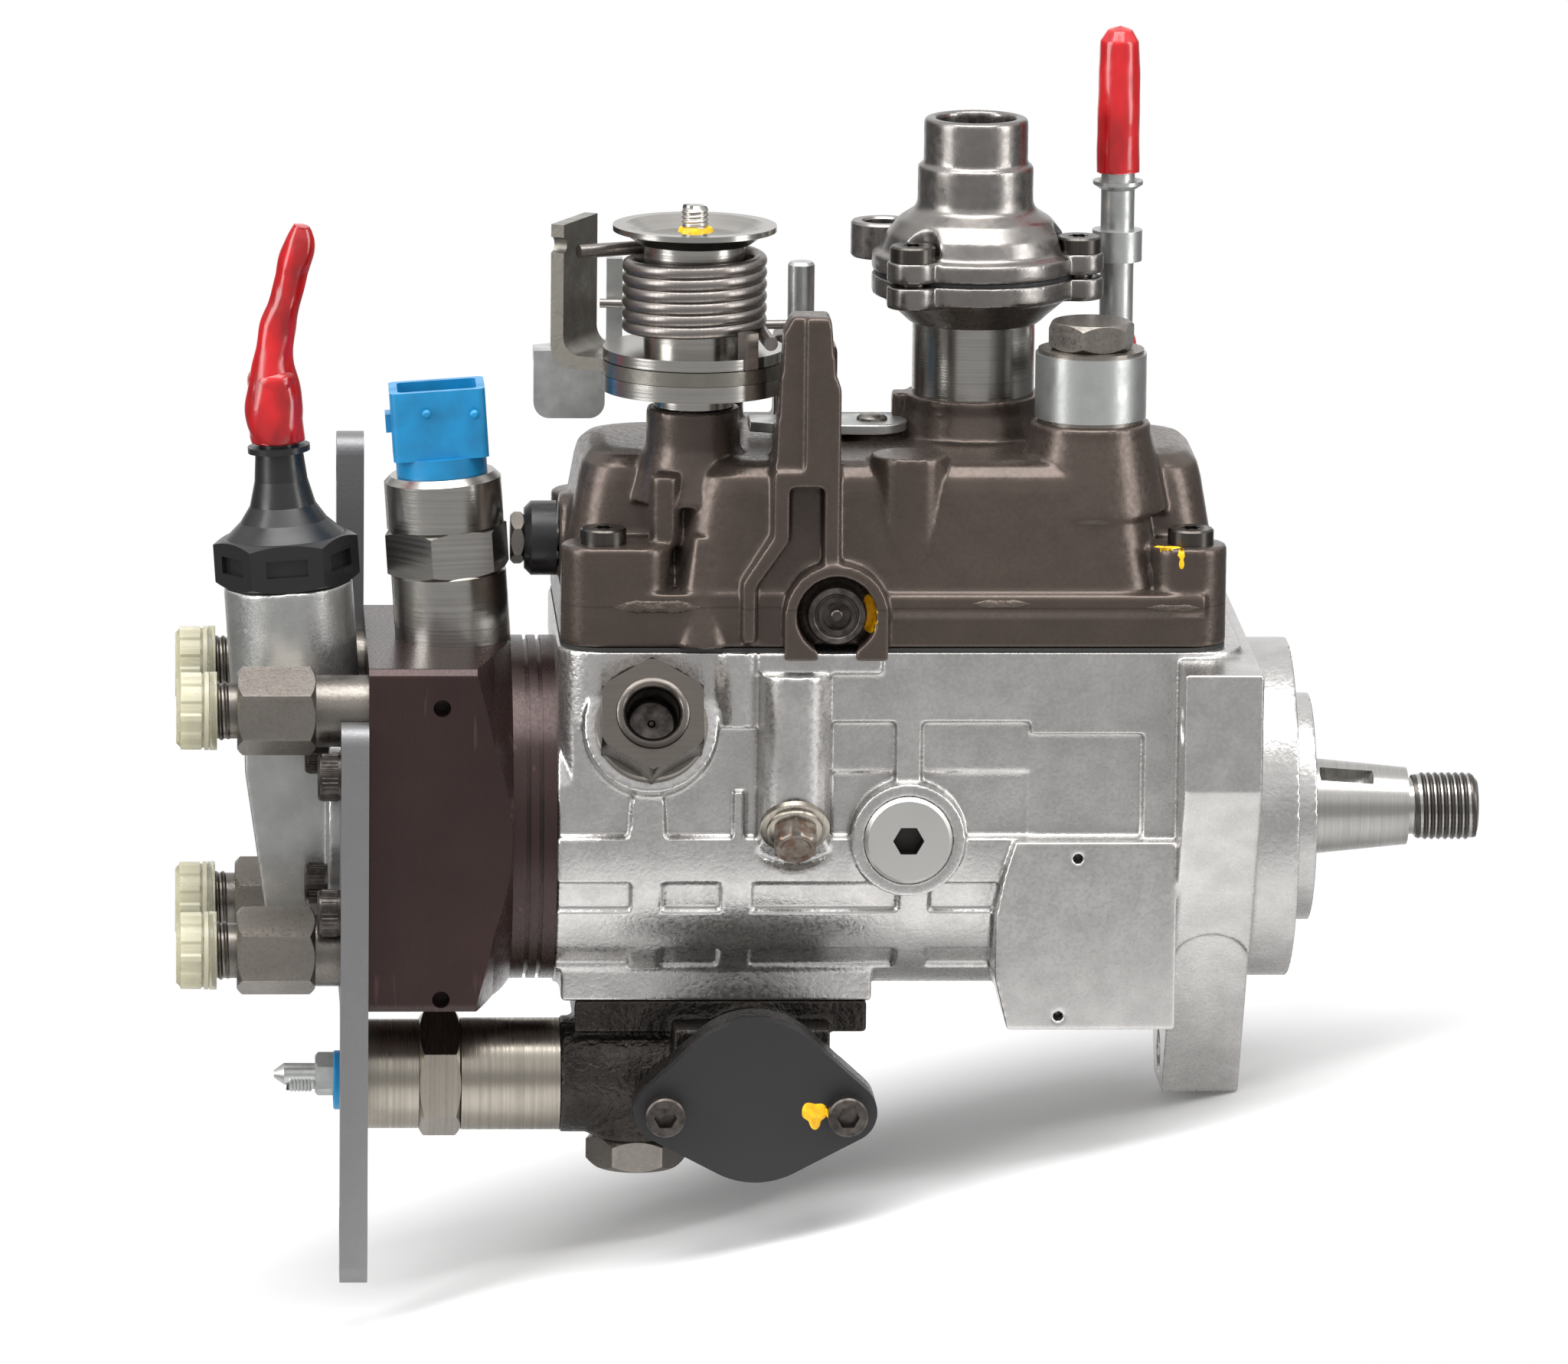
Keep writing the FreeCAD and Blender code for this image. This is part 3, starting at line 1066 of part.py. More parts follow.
def solenoid_connector():
    """The blue two-pin socket moulded on the solenoid."""
    top = SOLENOID_SEAT + SOLENOID_LOW + SOLENOID_HEX + SOLENOID_HIGH
    base = bar_z(9.9, 0, 4.2, 0, 0)
    box = softened(block(-10.4, 10.4, -8.0, 8.0, 4.0, 19.2), 1.6, vertical)
    shell = base.fuse([box, block(-11.6, -10.0, -3.0, 3.0, 10.0, 14.0)])
    cavity = softened(block(-8.6, 8.6, -6.2, 6.2, 8.0, 20.0), 1.2, vertical)
    pins = [block(side * 4 - 1.6, side * 4 + 1.6, -0.45, 0.45, 7.0, 9.0) for side in (-1, 1)]
    shell = shell.cut([cavity] + pins)
    return placed(Part.Compound([shell]), solenoid_point(top), LEAN_AXIS)


def solenoid_terminals():
    """The two blades in the socket."""
    top = SOLENOID_SEAT + SOLENOID_LOW + SOLENOID_HEX + SOLENOID_HIGH
    blades = [block(side * 4 - 1.55, side * 4 + 1.55, -0.4, 0.4, 7.0, 13.0) for side in (-1, 1)]
    return placed(Part.Compound(blades), solenoid_point(top), LEAN_AXIS)


def leaning_block(x0, x1, y0, y1, low, crown, radius):
    """A block with round corners, leaning walls and a rounded top."""
    levels = [(0.0, low), (CROWN_INSET, crown - CROWN_ROUND)]
    for angle in (30, 60, 90):
        bend = math.radians(angle)
        levels.append((CROWN_INSET + CROWN_ROUND * (1 - math.cos(bend)),
                       crown - CROWN_ROUND * (1 - math.sin(bend))))
    wires = [rounded_outline(x0 + step, x1 - step, y0 + step, y1 - step, z, radius) for step, z in levels]
    return Part.makeLoft(wires, True, True)


def cover_form(inset, low, crown, radius):
    """The outer or inner form of the governor cover, full width only between its shoulders."""
    skirt = upright(COVER_LEFT + inset, COVER_RIGHT - inset, COVER_NEAR + inset, COVER_FAR - inset,
                    low, LIP_HIGH - inset, radius)
    wall = inset + WALL_STEP
    low_edge = LIP_HIGH - inset - 1
    ends = leaning_block(COVER_LEFT + wall, COVER_RIGHT - wall, COVER_NEAR + SHOULDER_STEP + inset,
                         COVER_FAR - SHOULDER_STEP - inset, low_edge, crown, radius)
    middle = leaning_block(SHOULDER_LEFT_X + inset, SHOULDER_RIGHT_X - inset, COVER_NEAR + wall,
                           COVER_FAR - wall, low_edge, crown, radius)
    return skirt.fuse([ends, middle])


def cover_pads():
    """The four corners that the cover screws clamp."""
    pads = []
    for x0, x1 in ((COVER_LEFT, SHOULDER_LEFT_X), (SHOULDER_RIGHT_X - 3, COVER_RIGHT)):
        for y0, y1 in ((COVER_NEAR, COVER_NEAR + PAD_DEPTH), (COVER_FAR - PAD_DEPTH, COVER_FAR)):
            pads.append(upright(x0, x1, y0, y1, COVER_BASE, COVER_PAD_Z, COVER_PAD_R))
    return pads


def front_lug():
    """The tall stop lug with its root ribs on the near side."""
    outline = [(LUG_LEFT - 0.5, LUG_BOTTOM), (LUG_LEFT + 1.6, LUG_TOP - 3.5),
               (LUG_LEFT + 3.4, LUG_TOP), (LUG_RIGHT - 2.0, LUG_TOP), (LUG_RIGHT - 0.8, LUG_TOP - 12.7),
               (LUG_RIGHT + 0.4, LUG_TOP - 15.7), (LUG_RIGHT + 0.4, LUG_BOTTOM)]
    lug = slab(outline, LUG_FAR - LUG_NEAR, V(0, LUG_FAR, 0), X_AXIS, Z_AXIS)
    root = block(LUG_LEFT, LUG_RIGHT, LUG_FAR - 1, LUG_FAR + 10,
                 LUG_BOTTOM - 7.0, LUG_BOTTOM + 11.0)
    rib = 3.0
    low_z = COVER_BASE + 1.5
    left_rib = slab([(LUG_LEFT - 0.5, LUG_BOTTOM + 1), (LUG_LEFT - 0.5, LUG_BOTTOM - 11.0),
                     (LUG_LEFT - 7.0, LUG_BOTTOM - 21.0), (LUG_LEFT - 7.0, low_z), (LUG_LEFT - 4.0, low_z),
                     (LUG_LEFT - 4.0, LUG_BOTTOM - 22.0), (LUG_LEFT + rib, LUG_BOTTOM - 12.0), (LUG_LEFT + rib, LUG_BOTTOM + 1)],
                    LUG_FAR - LUG_NEAR, V(0, LUG_FAR, 0), X_AXIS, Z_AXIS)
    right_rib = slab([(LUG_RIGHT + 0.4, LUG_BOTTOM + 1), (LUG_RIGHT - rib, LUG_BOTTOM + 1),
                      (LUG_RIGHT - rib, LUG_BOTTOM - 17.0), (LUG_RIGHT + 0.4, LUG_BOTTOM - 17.0)],
                     LUG_FAR - LUG_NEAR, V(0, LUG_FAR, 0), X_AXIS, Z_AXIS)
    facet = block(LUG_LEFT - 1, LUG_LEFT + 6.4, LUG_NEAR - 1, LUG_NEAR + 1.4, LUG_BOTTOM + 3.5, LUG_TOP + 1)
    return [lug.cut(facet), root, left_rib, right_rib]


def tamper_boss():
    """The boss round the sealed screw, with a flat lower end that hangs over the joint."""
    left, right = TAMPER_X - TAMPER_BOSS_R, TAMPER_X + TAMPER_BOSS_R
    back = COVER_NEAR + TAMPER_BOSS_DEPTH
    low = JOINT_Z - TAMPER_DROP
    boss = bar_y(TAMPER_BOSS_R, TAMPER_Y, back, TAMPER_X, TAMPER_Z)
    boss = boss.cut(block(left - 1, right + 1, TAMPER_Y - 1, back + 1, low - TAMPER_BOSS_R, low))
    boss = boss.fuse(block(left, right, TAMPER_Y, back, low, TAMPER_Z))
    return boss.cut(block(left - 1, right + 1, COVER_NEAR - PAD_PROUD - SEAT, back + 1, low - 1, COVER_BASE))


def governor_cover():
    """The cast cover on the housing, with the throttle tower and the boost and return bosses."""
    cover = cover_form(0.0, COVER_BASE, CROWN_Z, COVER_CORNER_R)
    adds = [bar_z(TOWER_R, COVER_BASE + 3, TOWER_TOP, TOWER_X, TOWER_Y),
            bar_z(BANJO_BOSS_R, COVER_BASE + 3, BANJO_BOSS_TOP, BANJO_X, BANJO_Y),
            bar_z(BOOST_BOSS_R, BAND_TOP, BOOST_BOSS_TOP, BOOST_X, BOOST_Y),
            bar_z(STOP_BOSS_R, BAND_TOP, STOP_BOSS_TOP, STOP_X, STOP_Y),
            bar_z(FRONT_PAD_R, LIP_HIGH, FRONT_PAD_Z, FRONT_PAD_X, COVER_NEAR + FRONT_PAD_R + 1.2),
            bar_z(SIDE_COLUMN_R, COVER_PAD_Z - 1, CROWN_Z - 3, SIDE_COLUMN_X, SCREW_NEAR_Y + 1.5),
            cone_z(BULGE_R, BULGE_R * 0.3, COVER_BASE, COVER_PAD_Z + 2, BULGE_X, COVER_NEAR + BULGE_R - 2.5),
            cone_z(TOWER_R + 4, TOWER_R, CROWN_Z - 10, CROWN_Z + 2, TOWER_X, TOWER_Y),
            cone_z(BANJO_BOSS_R + 4, BANJO_BOSS_R, CROWN_Z - 12, BANJO_BOSS_TOP - 2, BANJO_X, BANJO_Y),
            cone_z(BOOST_BOSS_R + 3.5, BOOST_BOSS_R, CROWN_Z - 3, BOOST_BOSS_TOP - 3, BOOST_X, BOOST_Y),
            block(BOOST_X - BOOST_BOSS_R - 2.6, BOOST_X, BOOST_Y - 3, BOOST_Y + 3, CROWN_Z, BOOST_BOSS_TOP),
            block(TAMPER_X, COVER_RIGHT - 5, COVER_NEAR - LIP_PROUD, COVER_NEAR + 4, LIP_LOW, LIP_HIGH),
            bar_z(PLATE_BOSS_R, CROWN_Z - 2, CROWN_Z + PLATE_BOSS_RISE, PLATE_BOSS_X, PLATE_BOSS_Y),
            tamper_boss(),
            block(POST_X - 6.0, POST_X + 8.0, POST_Y - 5.0, POST_Y + 5.0, BAND_TOP, STOP_LEVER_Z + 3.0),
            block(POST_X - 6.0, POST_X + 3.0, POST_Y - 5.0, POST_Y + 5.0,
                  STOP_LEVER_Z + 2.0, REAR_LUG_TOP),
            block(POST_X - 2.0, POST_X + 2.0, POST_Y - 2.0, POST_Y + 2.0, REAR_LUG_TOP - 1, POST_TOP),
            bar_x(IDLE_SLEEVE_R + 2, COVER_LEFT + 0.5, COVER_LEFT + 12, 0, IDLE_Z)]
    cover = cover.fuse(adds + front_lug())
    pads = cover_pads()
    cover = cover.fuse(pads)
    inside = cover_form(COVER_WALL, COVER_BASE - 1, CROWN_Z - COVER_WALL, COVER_CORNER_R - COVER_WALL)
    keep = [bar_z(TOWER_R, COVER_BASE - 2, CROWN_Z, TOWER_X, TOWER_Y).cut(
                bar_z(TOWER_R + 1, COVER_BASE - 2, INNER_LEVER_Z + 6, TOWER_X, TOWER_Y)),
            bar_z(STOP_BOSS_R, BAND_TOP + 6, CROWN_Z, STOP_X, STOP_Y),
            bar_z(BANJO_BOSS_R, BAND_TOP + 4, CROWN_Z, BANJO_X, BANJO_Y),
            bar_y(TAMPER_BOSS_R, TAMPER_Y, COVER_NEAR + 14, TAMPER_X, TAMPER_Z + 2)]
    keep += pads
    inside = inside.cut(keep)
    tamper_seat = TAMPER_Y + TAMPER_SEAT
    cuts = [inside,
            bar_z(THROTTLE_SHAFT_R + RUN_FIT, INNER_LEVER_Z - 2, TOWER_TOP + 1, TOWER_X, TOWER_Y),
            bar_z(STOP_SHAFT_R + RUN_FIT, INNER_LEVER_Z - 2, STOP_BOSS_TOP + 1, STOP_X, STOP_Y),
            bar_z(BANJO_BOLT_R + PUSH_FIT, INNER_LEVER_Z - 2, BANJO_BOSS_TOP + 1, BANJO_X, BANJO_Y),
            bar_z(8.0, CROWN_Z - 10.5, BOOST_BOSS_TOP + 1, BOOST_X, BOOST_Y),
            bar_x(IDLE_SCREW_R + PUSH_FIT, COVER_LEFT - 1, COVER_LEFT + 14, 0, IDLE_Z),
            bar_y(TAMPER_BORE_R, TAMPER_Y - 1, tamper_seat, TAMPER_X, TAMPER_Z),
            block(TAMPER_X - TAMPER_SLOT_HALF, TAMPER_X + TAMPER_SLOT_HALF, TAMPER_Y - 1, tamper_seat,
                  JOINT_Z - TAMPER_DROP - 1, TAMPER_Z - TAMPER_HEAD_R),
            bar_y(TAMPER_SHANK_R + PUSH_FIT, tamper_seat - 1, tamper_seat + TAMPER_SHANK_LEN,
                  TAMPER_X, TAMPER_Z)]
    cuts += [bar_z(TORX_SHANK_R + PUSH_FIT, COVER_BASE - 1, COVER_PAD_Z + 1, x, y)
             for x, y in cover_screw_spots()]
    return tidy(cover.cut(cuts))


def cover_gasket():
    """The flat gasket between the cover and the housing."""
    rim = Part.Face(rounded_outline(COVER_LEFT, COVER_RIGHT, COVER_NEAR, COVER_FAR, JOINT_Z, 10.0))
    gasket = rim.extrude(V(0, 0, GASKET))
    hole = Part.Face(rounded_outline(WELL_LEFT, WELL_RIGHT, -WELL_HALF, WELL_HALF, JOINT_Z - 1, 3.0))
    cuts = [hole.extrude(V(0, 0, 4))]
    cuts += [bar_z(TORX_SHANK_R + PUSH_FIT, JOINT_Z - 1, COVER_BASE + 1, x, y)
             for x, y in cover_screw_spots()]
    cuts.append(bar_y(TAMPER_BOSS_R + SEAT, TAMPER_Y - 9, COVER_NEAR + TAMPER_BOSS_DEPTH + SEAT,
                      TAMPER_X, TAMPER_Z))
    return gasket.cut(cuts)


def torx_screw(head, shank_len):
    return socket_screw(head, V(0, 0, -1), shank_len, TORX_SHANK_R, TORX_HEAD_R, TORX_HEAD_LEN,
                        TORX_SOCKET_R)


def cover_torx_screws():
    """Pan head screws of the cover and of the boost unit."""
    screws = [torx_screw(V(x, y, COVER_PAD_Z), COVER_PAD_Z - JOINT_Z + 12)
              for x, y in cover_screw_spots()]
    screws += [torx_screw(V(x, y, DIAPHRAGM_Z + FLANGE_THICK), 2 * FLANGE_THICK - 1)
               for x, y in boost_ear_spots()]
    return Part.Compound(screws)


def tamper_screw():
    """The sealed adjusting screw in its round boss."""
    return socket_screw(V(TAMPER_X, TAMPER_Y + TAMPER_SEAT, TAMPER_Z), Y_AXIS, TAMPER_SHANK_LEN - 1,
                        TAMPER_SHANK_R, TAMPER_HEAD_R, TAMPER_HEAD_LEN, 3.4)


def idle_sleeve():
    """The guard sleeve on the rear wall of the cover."""
    left = COVER_LEFT - IDLE_SLEEVE_LEN
    return turned([(0, IDLE_SCREW_R + PUSH_FIT), (0, IDLE_SLEEVE_R - 1.5), (1.5, IDLE_SLEEVE_R),
                   (IDLE_SLEEVE_LEN, IDLE_SLEEVE_R), (IDLE_SLEEVE_LEN, IDLE_SCREW_R + PUSH_FIT)],
                  V(left, 0, IDLE_Z), X_AXIS)


def idle_screw():
    """The idling stop screw with its hexagon outside the sleeve."""
    left = COVER_LEFT - IDLE_SLEEVE_LEN
    shank = bar_x(IDLE_SCREW_R, left, COVER_LEFT + 10, 0, IDLE_Z)
    head = hexagon(IDLE_HEX_FLATS, V(left, 0, IDLE_Z), IDLE_HEX_LEN, V(-1, 0, 0), 0, 0.8)
    return head.fuse(shank)


def throttle_shaft():
    """The upright throttle shaft with its collar, spring guide and threaded end."""
    collar_low = TOWER_TOP + SEAT
    guide_low = LEVER_Z + LEVER_THICK + 0.2
    shaft = turned([(INNER_LEVER_Z, 0), (INNER_LEVER_Z, THROTTLE_SHAFT_R), (collar_low, THROTTLE_SHAFT_R),
                    (collar_low, COLLAR_R), (LEVER_Z - 3.6, COLLAR_R),
                    (LEVER_Z - 3.6, DISC_R), (LEVER_Z - 0.1, DISC_R), (LEVER_Z - 0.1, THROTTLE_SHAFT_R),
                    (guide_low, THROTTLE_SHAFT_R), (guide_low, DISC_R - 0.3),
                    (guide_low + 2.4, DISC_R - 0.3), (guide_low + 2.4, SPRING_HUB_R),
                    (DISH_BOTTOM - 0.2, SPRING_HUB_R), (DISH_BOTTOM - 0.2, STUD_R),
                    (STUD_TOP - 0.8, STUD_R), (STUD_TOP, STUD_R - 0.8), (STUD_TOP, 0)],
                   V(TOWER_X, TOWER_Y, 0), Z_AXIS)
    lever = block(TOWER_X - 4.0, TOWER_X + 4.0, TOWER_Y, TOWER_Y + 14.0,
                  INNER_LEVER_Z, INNER_LEVER_Z + 4.0)
    stop = block(DISC_R - 2.6, DISC_R + 0.2, -1.7, 1.7, guide_low, guide_low + 8.0)
    stop.rotate(V(0, 0, 0), Z_AXIS, GUIDE_STOP_ANGLE)
    stop.translate(V(TOWER_X, TOWER_Y, 0))
    return shaft.fuse([lever, stop])


def throttle_lever():
    """The pressed lever: a disc on the shaft, an arm and a tab bent up for the spring."""
    disc = bar_z(DISC_R, LEVER_Z, LEVER_Z + LEVER_THICK, 0, 0)
    half = TAB_WIDTH / 2
    arm = block(-TAB_REACH - LEVER_THICK, 0, -half, half, LEVER_Z, LEVER_Z + LEVER_THICK)
    tab = block(-TAB_REACH - LEVER_THICK, -TAB_REACH, -half, half, LEVER_Z, TAB_TOP)
    bend = bar_y(4.0, -half, half, -TAB_REACH + 4.0, LEVER_Z + LEVER_THICK + 4.0)
    fill = block(-TAB_REACH - 0.1, -TAB_REACH + 4.0, -half, half, LEVER_Z + LEVER_THICK - 0.1,
                 LEVER_Z + LEVER_THICK + 4.0)
    lever = tidy(disc.fuse([arm, tab, fill.cut(bend)]))
    lever = softened(lever, LEVER_THICK + 2, lambda e: near(e.CenterOfMass.x, -TAB_REACH - LEVER_THICK)
                     and near(e.CenterOfMass.z, LEVER_Z))
    notch = bar_x(SPRING_WIRE_R + 0.2, -TAB_REACH - LEVER_THICK - 1, -TAB_REACH + 1, -half,
                  SPRING_TOP)
    lever = lever.cut([notch, bar_z(THROTTLE_SHAFT_R + PUSH_FIT, LEVER_Z - 1, LEVER_Z + 5, 0, 0)])
    lever.rotate(V(0, 0, 0), Z_AXIS, TAB_ANGLE)
    lever.translate(V(TOWER_X, TOWER_Y, 0))
    return tidy(lever)


def spring_dish():
    """The dished washer on top of the spring."""
    return turned([(DISH_BOTTOM, STUD_R + PUSH_FIT), (DISH_BOTTOM, SPRING_R - 2.0),
                   (DISH_TOP - 1.2, DISH_R - 1.5), (DISH_TOP - 1.2, DISH_R), (DISH_TOP, DISH_R),
                   (DISH_TOP, DISH_R - 2.6), (DISH_BOTTOM + 1.4, SPRING_R - 3.4),
                   (DISH_BOTTOM + 1.4, STUD_R + PUSH_FIT)], V(TOWER_X, TOWER_Y, 0), Z_AXIS)


def throttle_spring():
    """The torsion spring: a coil round the guide with a leg to the tab and a leg to the lug."""
    low = SPRING_BOTTOM + SPRING_WIRE_R
    height = SPRING_TOP - SPRING_WIRE_R - low
    pitch = height / SPRING_TURNS
    coil = Part.makeHelix(pitch, height, SPRING_R)
    start = V(SPRING_R, 0, 0)
    section = circle_at(start, V(0, SPRING_R * 2 * math.pi, pitch), SPRING_WIRE_R)
    wire = Part.Wire(coil.Edges).makePipeShell([section], True, True)
    end_angle = 2 * math.pi * SPRING_TURNS
    end = V(SPRING_R * math.cos(end_angle), SPRING_R * math.sin(end_angle), height)
    along = V(-math.sin(end_angle), math.cos(end_angle), 0)
    lower_leg = bar(SPRING_WIRE_R, start, start.add(V(0, -SPRING_LEG, 0)))
    upper_leg = bar(SPRING_WIRE_R, end, end.add(along * SPRING_TOP_LEG))
    spring = Part.Compound([wire, lower_leg, upper_leg])
    spring.rotate(V(0, 0, 0), Z_AXIS, SPRING_START)
    spring.translate(V(TOWER_X, TOWER_Y, low))
    return spring


def stop_lever():
    """The stop lever on its shaft: eye plate, tab bent down and finger bent up."""
    thick = LEVER_THICK
    low = STOP_LEVER_Z
    shaft = turned([(INNER_LEVER_Z, 0), (INNER_LEVER_Z, STOP_SHAFT_R), (STOP_BOSS_TOP + SEAT, STOP_SHAFT_R),
                    (STOP_BOSS_TOP + SEAT, STOP_COIL_R), (low, STOP_COIL_R), (low + thick, STOP_COIL_R),
                    (low + thick, STOP_COIL_R - 2.6), (low + 19.0, STOP_COIL_R - 2.6), (low + 19.0, 0)],
                   V(STOP_X, STOP_Y, 0), Z_AXIS)
    plate = slab([(STOP_TAB_LEFT, STOP_TAB_Y), (STOP_TAB_LEFT + 16, STOP_TAB_Y),
                  (STOP_X, STOP_Y - 8.0), (STOP_X, STOP_Y + 8.0), (STOP_TAB_LEFT + 12, STOP_Y + 4.0),
                  (STOP_TAB_LEFT, STOP_TAB_Y + 8)], thick, V(0, 0, low), X_AXIS, Y_AXIS)
    tab = slab([(STOP_TAB_LEFT, STOP_TAB_BOTTOM), (STOP_TAB_RIGHT, STOP_TAB_BOTTOM),
                (STOP_TAB_RIGHT, low + thick), (STOP_TAB_LEFT, low + thick)],
               thick, V(0, STOP_TAB_Y + thick, 0), X_AXIS, Z_AXIS)
    tab = softened(tab, 3.5, lambda e: near(e.CenterOfMass.z, STOP_TAB_BOTTOM)
                   and near(e.Length, thick))
    finger = block(STOP_X - 21.4, STOP_X - 17.9, STOP_Y - 2.0, STOP_Y + 1.0, low, STOP_FINGER_TOP)
    eye = bar_z(2.6, low - 1, low + thick + 1, STOP_TAB_LEFT + 12, STOP_TAB_Y + 6)
    return tidy(shaft.fuse([plate, tab, finger]).cut(eye))


def stop_spring():
    """The light return spring of the stop lever: coil and two legs."""
    low = STOP_LEVER_Z + LEVER_THICK + 5.0
    ring_r = STOP_COIL_R - 1.0
    rings = []
    for k in range(3):
        ring = Part.makeTorus(ring_r, STOP_WIRE_R, V(STOP_X, STOP_Y, low + 2.3 * k), Z_AXIS)
        rings.append(ring)
    near_leg = bar(STOP_WIRE_R, V(STOP_X, STOP_Y - ring_r, low + 4.6),
                   V(-151.0, STOP_Y - ring_r + 2.0, low + 4.6))
    far_leg = bar(STOP_WIRE_R, V(STOP_X, STOP_Y - ring_r, low),
                  V(POST_X + 2.0, STOP_Y - ring_r + 2.2, low))
    return Part.Compound(rings + [near_leg, far_leg])


def boost_ear_spots():
    """The ears of the boost halves stand every 120 degrees, the first one to the right."""
    return [(BOOST_X + BOOST_EAR_CIRCLE * math.cos(math.radians(a)),
             BOOST_Y + BOOST_EAR_CIRCLE * math.sin(math.radians(a))) for a in (-10, 110, 230)]


def boost_stand():
    """The turned steel stand of the boost unit."""
    return turned([(BOOST_BOSS_TOP - 6, 4.0), (BOOST_BOSS_TOP - 6, 7.9), (BOOST_BOSS_TOP, 7.9),
                   (BOOST_BOSS_TOP, STAND_R), (STAND_TOP, STAND_R), (STAND_TOP, 9.0),
                   (STAND_TOP - 8, 9.0), (STAND_TOP - 8, 4.0)], V(BOOST_X, BOOST_Y, 0), Z_AXIS)


def boost_ears(z0, z1):
    ears = []
    for x, y in boost_ear_spots():
        ear = bar_z(BOOST_EAR_R, z0, z1, x, y)
        dx, dy = (BOOST_X - x) / BOOST_EAR_CIRCLE, (BOOST_Y - y) / BOOST_EAR_CIRCLE
        web = slab([(x - dy * BOOST_EAR_R, y + dx * BOOST_EAR_R),
                    (x + dy * BOOST_EAR_R, y - dx * BOOST_EAR_R),
                    (x + dy * BOOST_EAR_R + dx * 9, y - dx * BOOST_EAR_R + dy * 9),
                    (x - dy * BOOST_EAR_R + dx * 9, y + dx * BOOST_EAR_R + dy * 9)],
                   z1 - z0, V(0, 0, z0), X_AXIS, Y_AXIS)
        ears += [ear, web]
    return ears


def boost_lower_half():
    """The die-cast lower half with the dished underside."""
    low = DIAPHRAGM_Z - 0.4
    body = turned([(STAND_TOP, 7.0), (STAND_TOP, STAND_R + 0.8), (STAND_TOP + 2.5, STAND_R + 3.5),
                   (low - FLANGE_THICK, BELL_R + 0.5), (low - FLANGE_THICK + 0.8, FLANGE_R),
                   (low, FLANGE_R), (low, 17.0), (STAND_TOP + 4, 14.0), (STAND_TOP + 3, 7.0)],
                  V(BOOST_X, BOOST_Y, 0), Z_AXIS)
    holes = [bar_z(TORX_SHANK_R + PUSH_FIT, low - 10, low + 1, x, y) for x, y in boost_ear_spots()]
    return tidy(body.fuse(boost_ears(low - FLANGE_THICK, low)).cut(holes))


def boost_diaphragm():
    """The rubber diaphragm with its metal plate, clamped between the halves."""
    low = DIAPHRAGM_Z - 0.4
    disc = turned([(low, 0), (low, FLANGE_R - 0.6), (low + 0.8, FLANGE_R - 0.6), (low + 0.8, 11.0),
                   (low + 2.0, 10.4), (low + 2.0, 0)], V(BOOST_X, BOOST_Y, 0), Z_AXIS)
    holes = [bar_z(TORX_SHANK_R + PUSH_FIT, low - 1, low + 2, x, y) for x, y in boost_ear_spots()]
    return disc.cut(holes)


def boost_upper_half():
    """The die-cast bell with its stepped tube."""
    low = DIAPHRAGM_Z + 0.4
    flange_top = low + FLANGE_THICK - 0.4
    body = turned([(low, 17.0), (low, FLANGE_R), (flange_top - 0.8, FLANGE_R),
                   (flange_top, BELL_R + 0.5), (flange_top + 3.6, BELL_R - 0.8),
                   (BELL_TOP - 2.2, BOOST_NECK_R + 4.0), (BELL_TOP, BOOST_NECK_R + 0.6),
                   (BELL_TOP + 1.6, BOOST_NECK_R), (BOOST_NECK_TOP - 0.6, BOOST_NECK_R),
                   (BOOST_NECK_TOP, BOOST_TUBE_R), (BOOST_TUBE_TOP - 0.6, BOOST_TUBE_R),
                   (BOOST_TUBE_TOP, BOOST_TUBE_R - 0.6), (BOOST_TUBE_TOP, BOOST_BORE_R),
                   (BELL_TOP - 3, BOOST_BORE_R), (BELL_TOP - 8, 15.0)], V(BOOST_X, BOOST_Y, 0), Z_AXIS)
    holes = [bar_z(TORX_SHANK_R + PUSH_FIT, low - 1, low + 9, x, y) for x, y in boost_ear_spots()]
    body = body.fuse(boost_ears(low, DIAPHRAGM_Z + FLANGE_THICK))
    spot = [bar_z(TORX_HEAD_R + 0.6, DIAPHRAGM_Z + FLANGE_THICK, DIAPHRAGM_Z + 14, x, y)
            for x, y in boost_ear_spots()]
    return tidy(body.cut(holes + spot))


def rounded_pipe(points, radius, bend):
    """A pipe through points with a tangent arc of one radius at each corner."""
    edges = []
    last = points[0]
    for before, corner, after in zip(points, points[1:], points[2:]):
        into = corner.sub(before).normalize()
        out = after.sub(corner).normalize()
        half = math.acos(max(-1.0, min(1.0, into.dot(out)))) / 2
        cut = bend * math.tan(half)
        start = corner.sub(into * cut)
        stop = corner.add(out * cut)
        inward = out.sub(into).normalize()
        middle = corner.add(inward * (bend / math.cos(half) - bend))
        edges.append(Part.LineSegment(last, start).toShape())
        edges.append(Part.Arc(start, middle, stop).toShape())
        last = stop
    edges.append(Part.LineSegment(last, points[-1]).toShape())
    spine = Part.Wire(edges)
    section = circle_at(points[0], points[1].sub(points[0]), radius)
    return spine.makePipeShell([section], True, False)


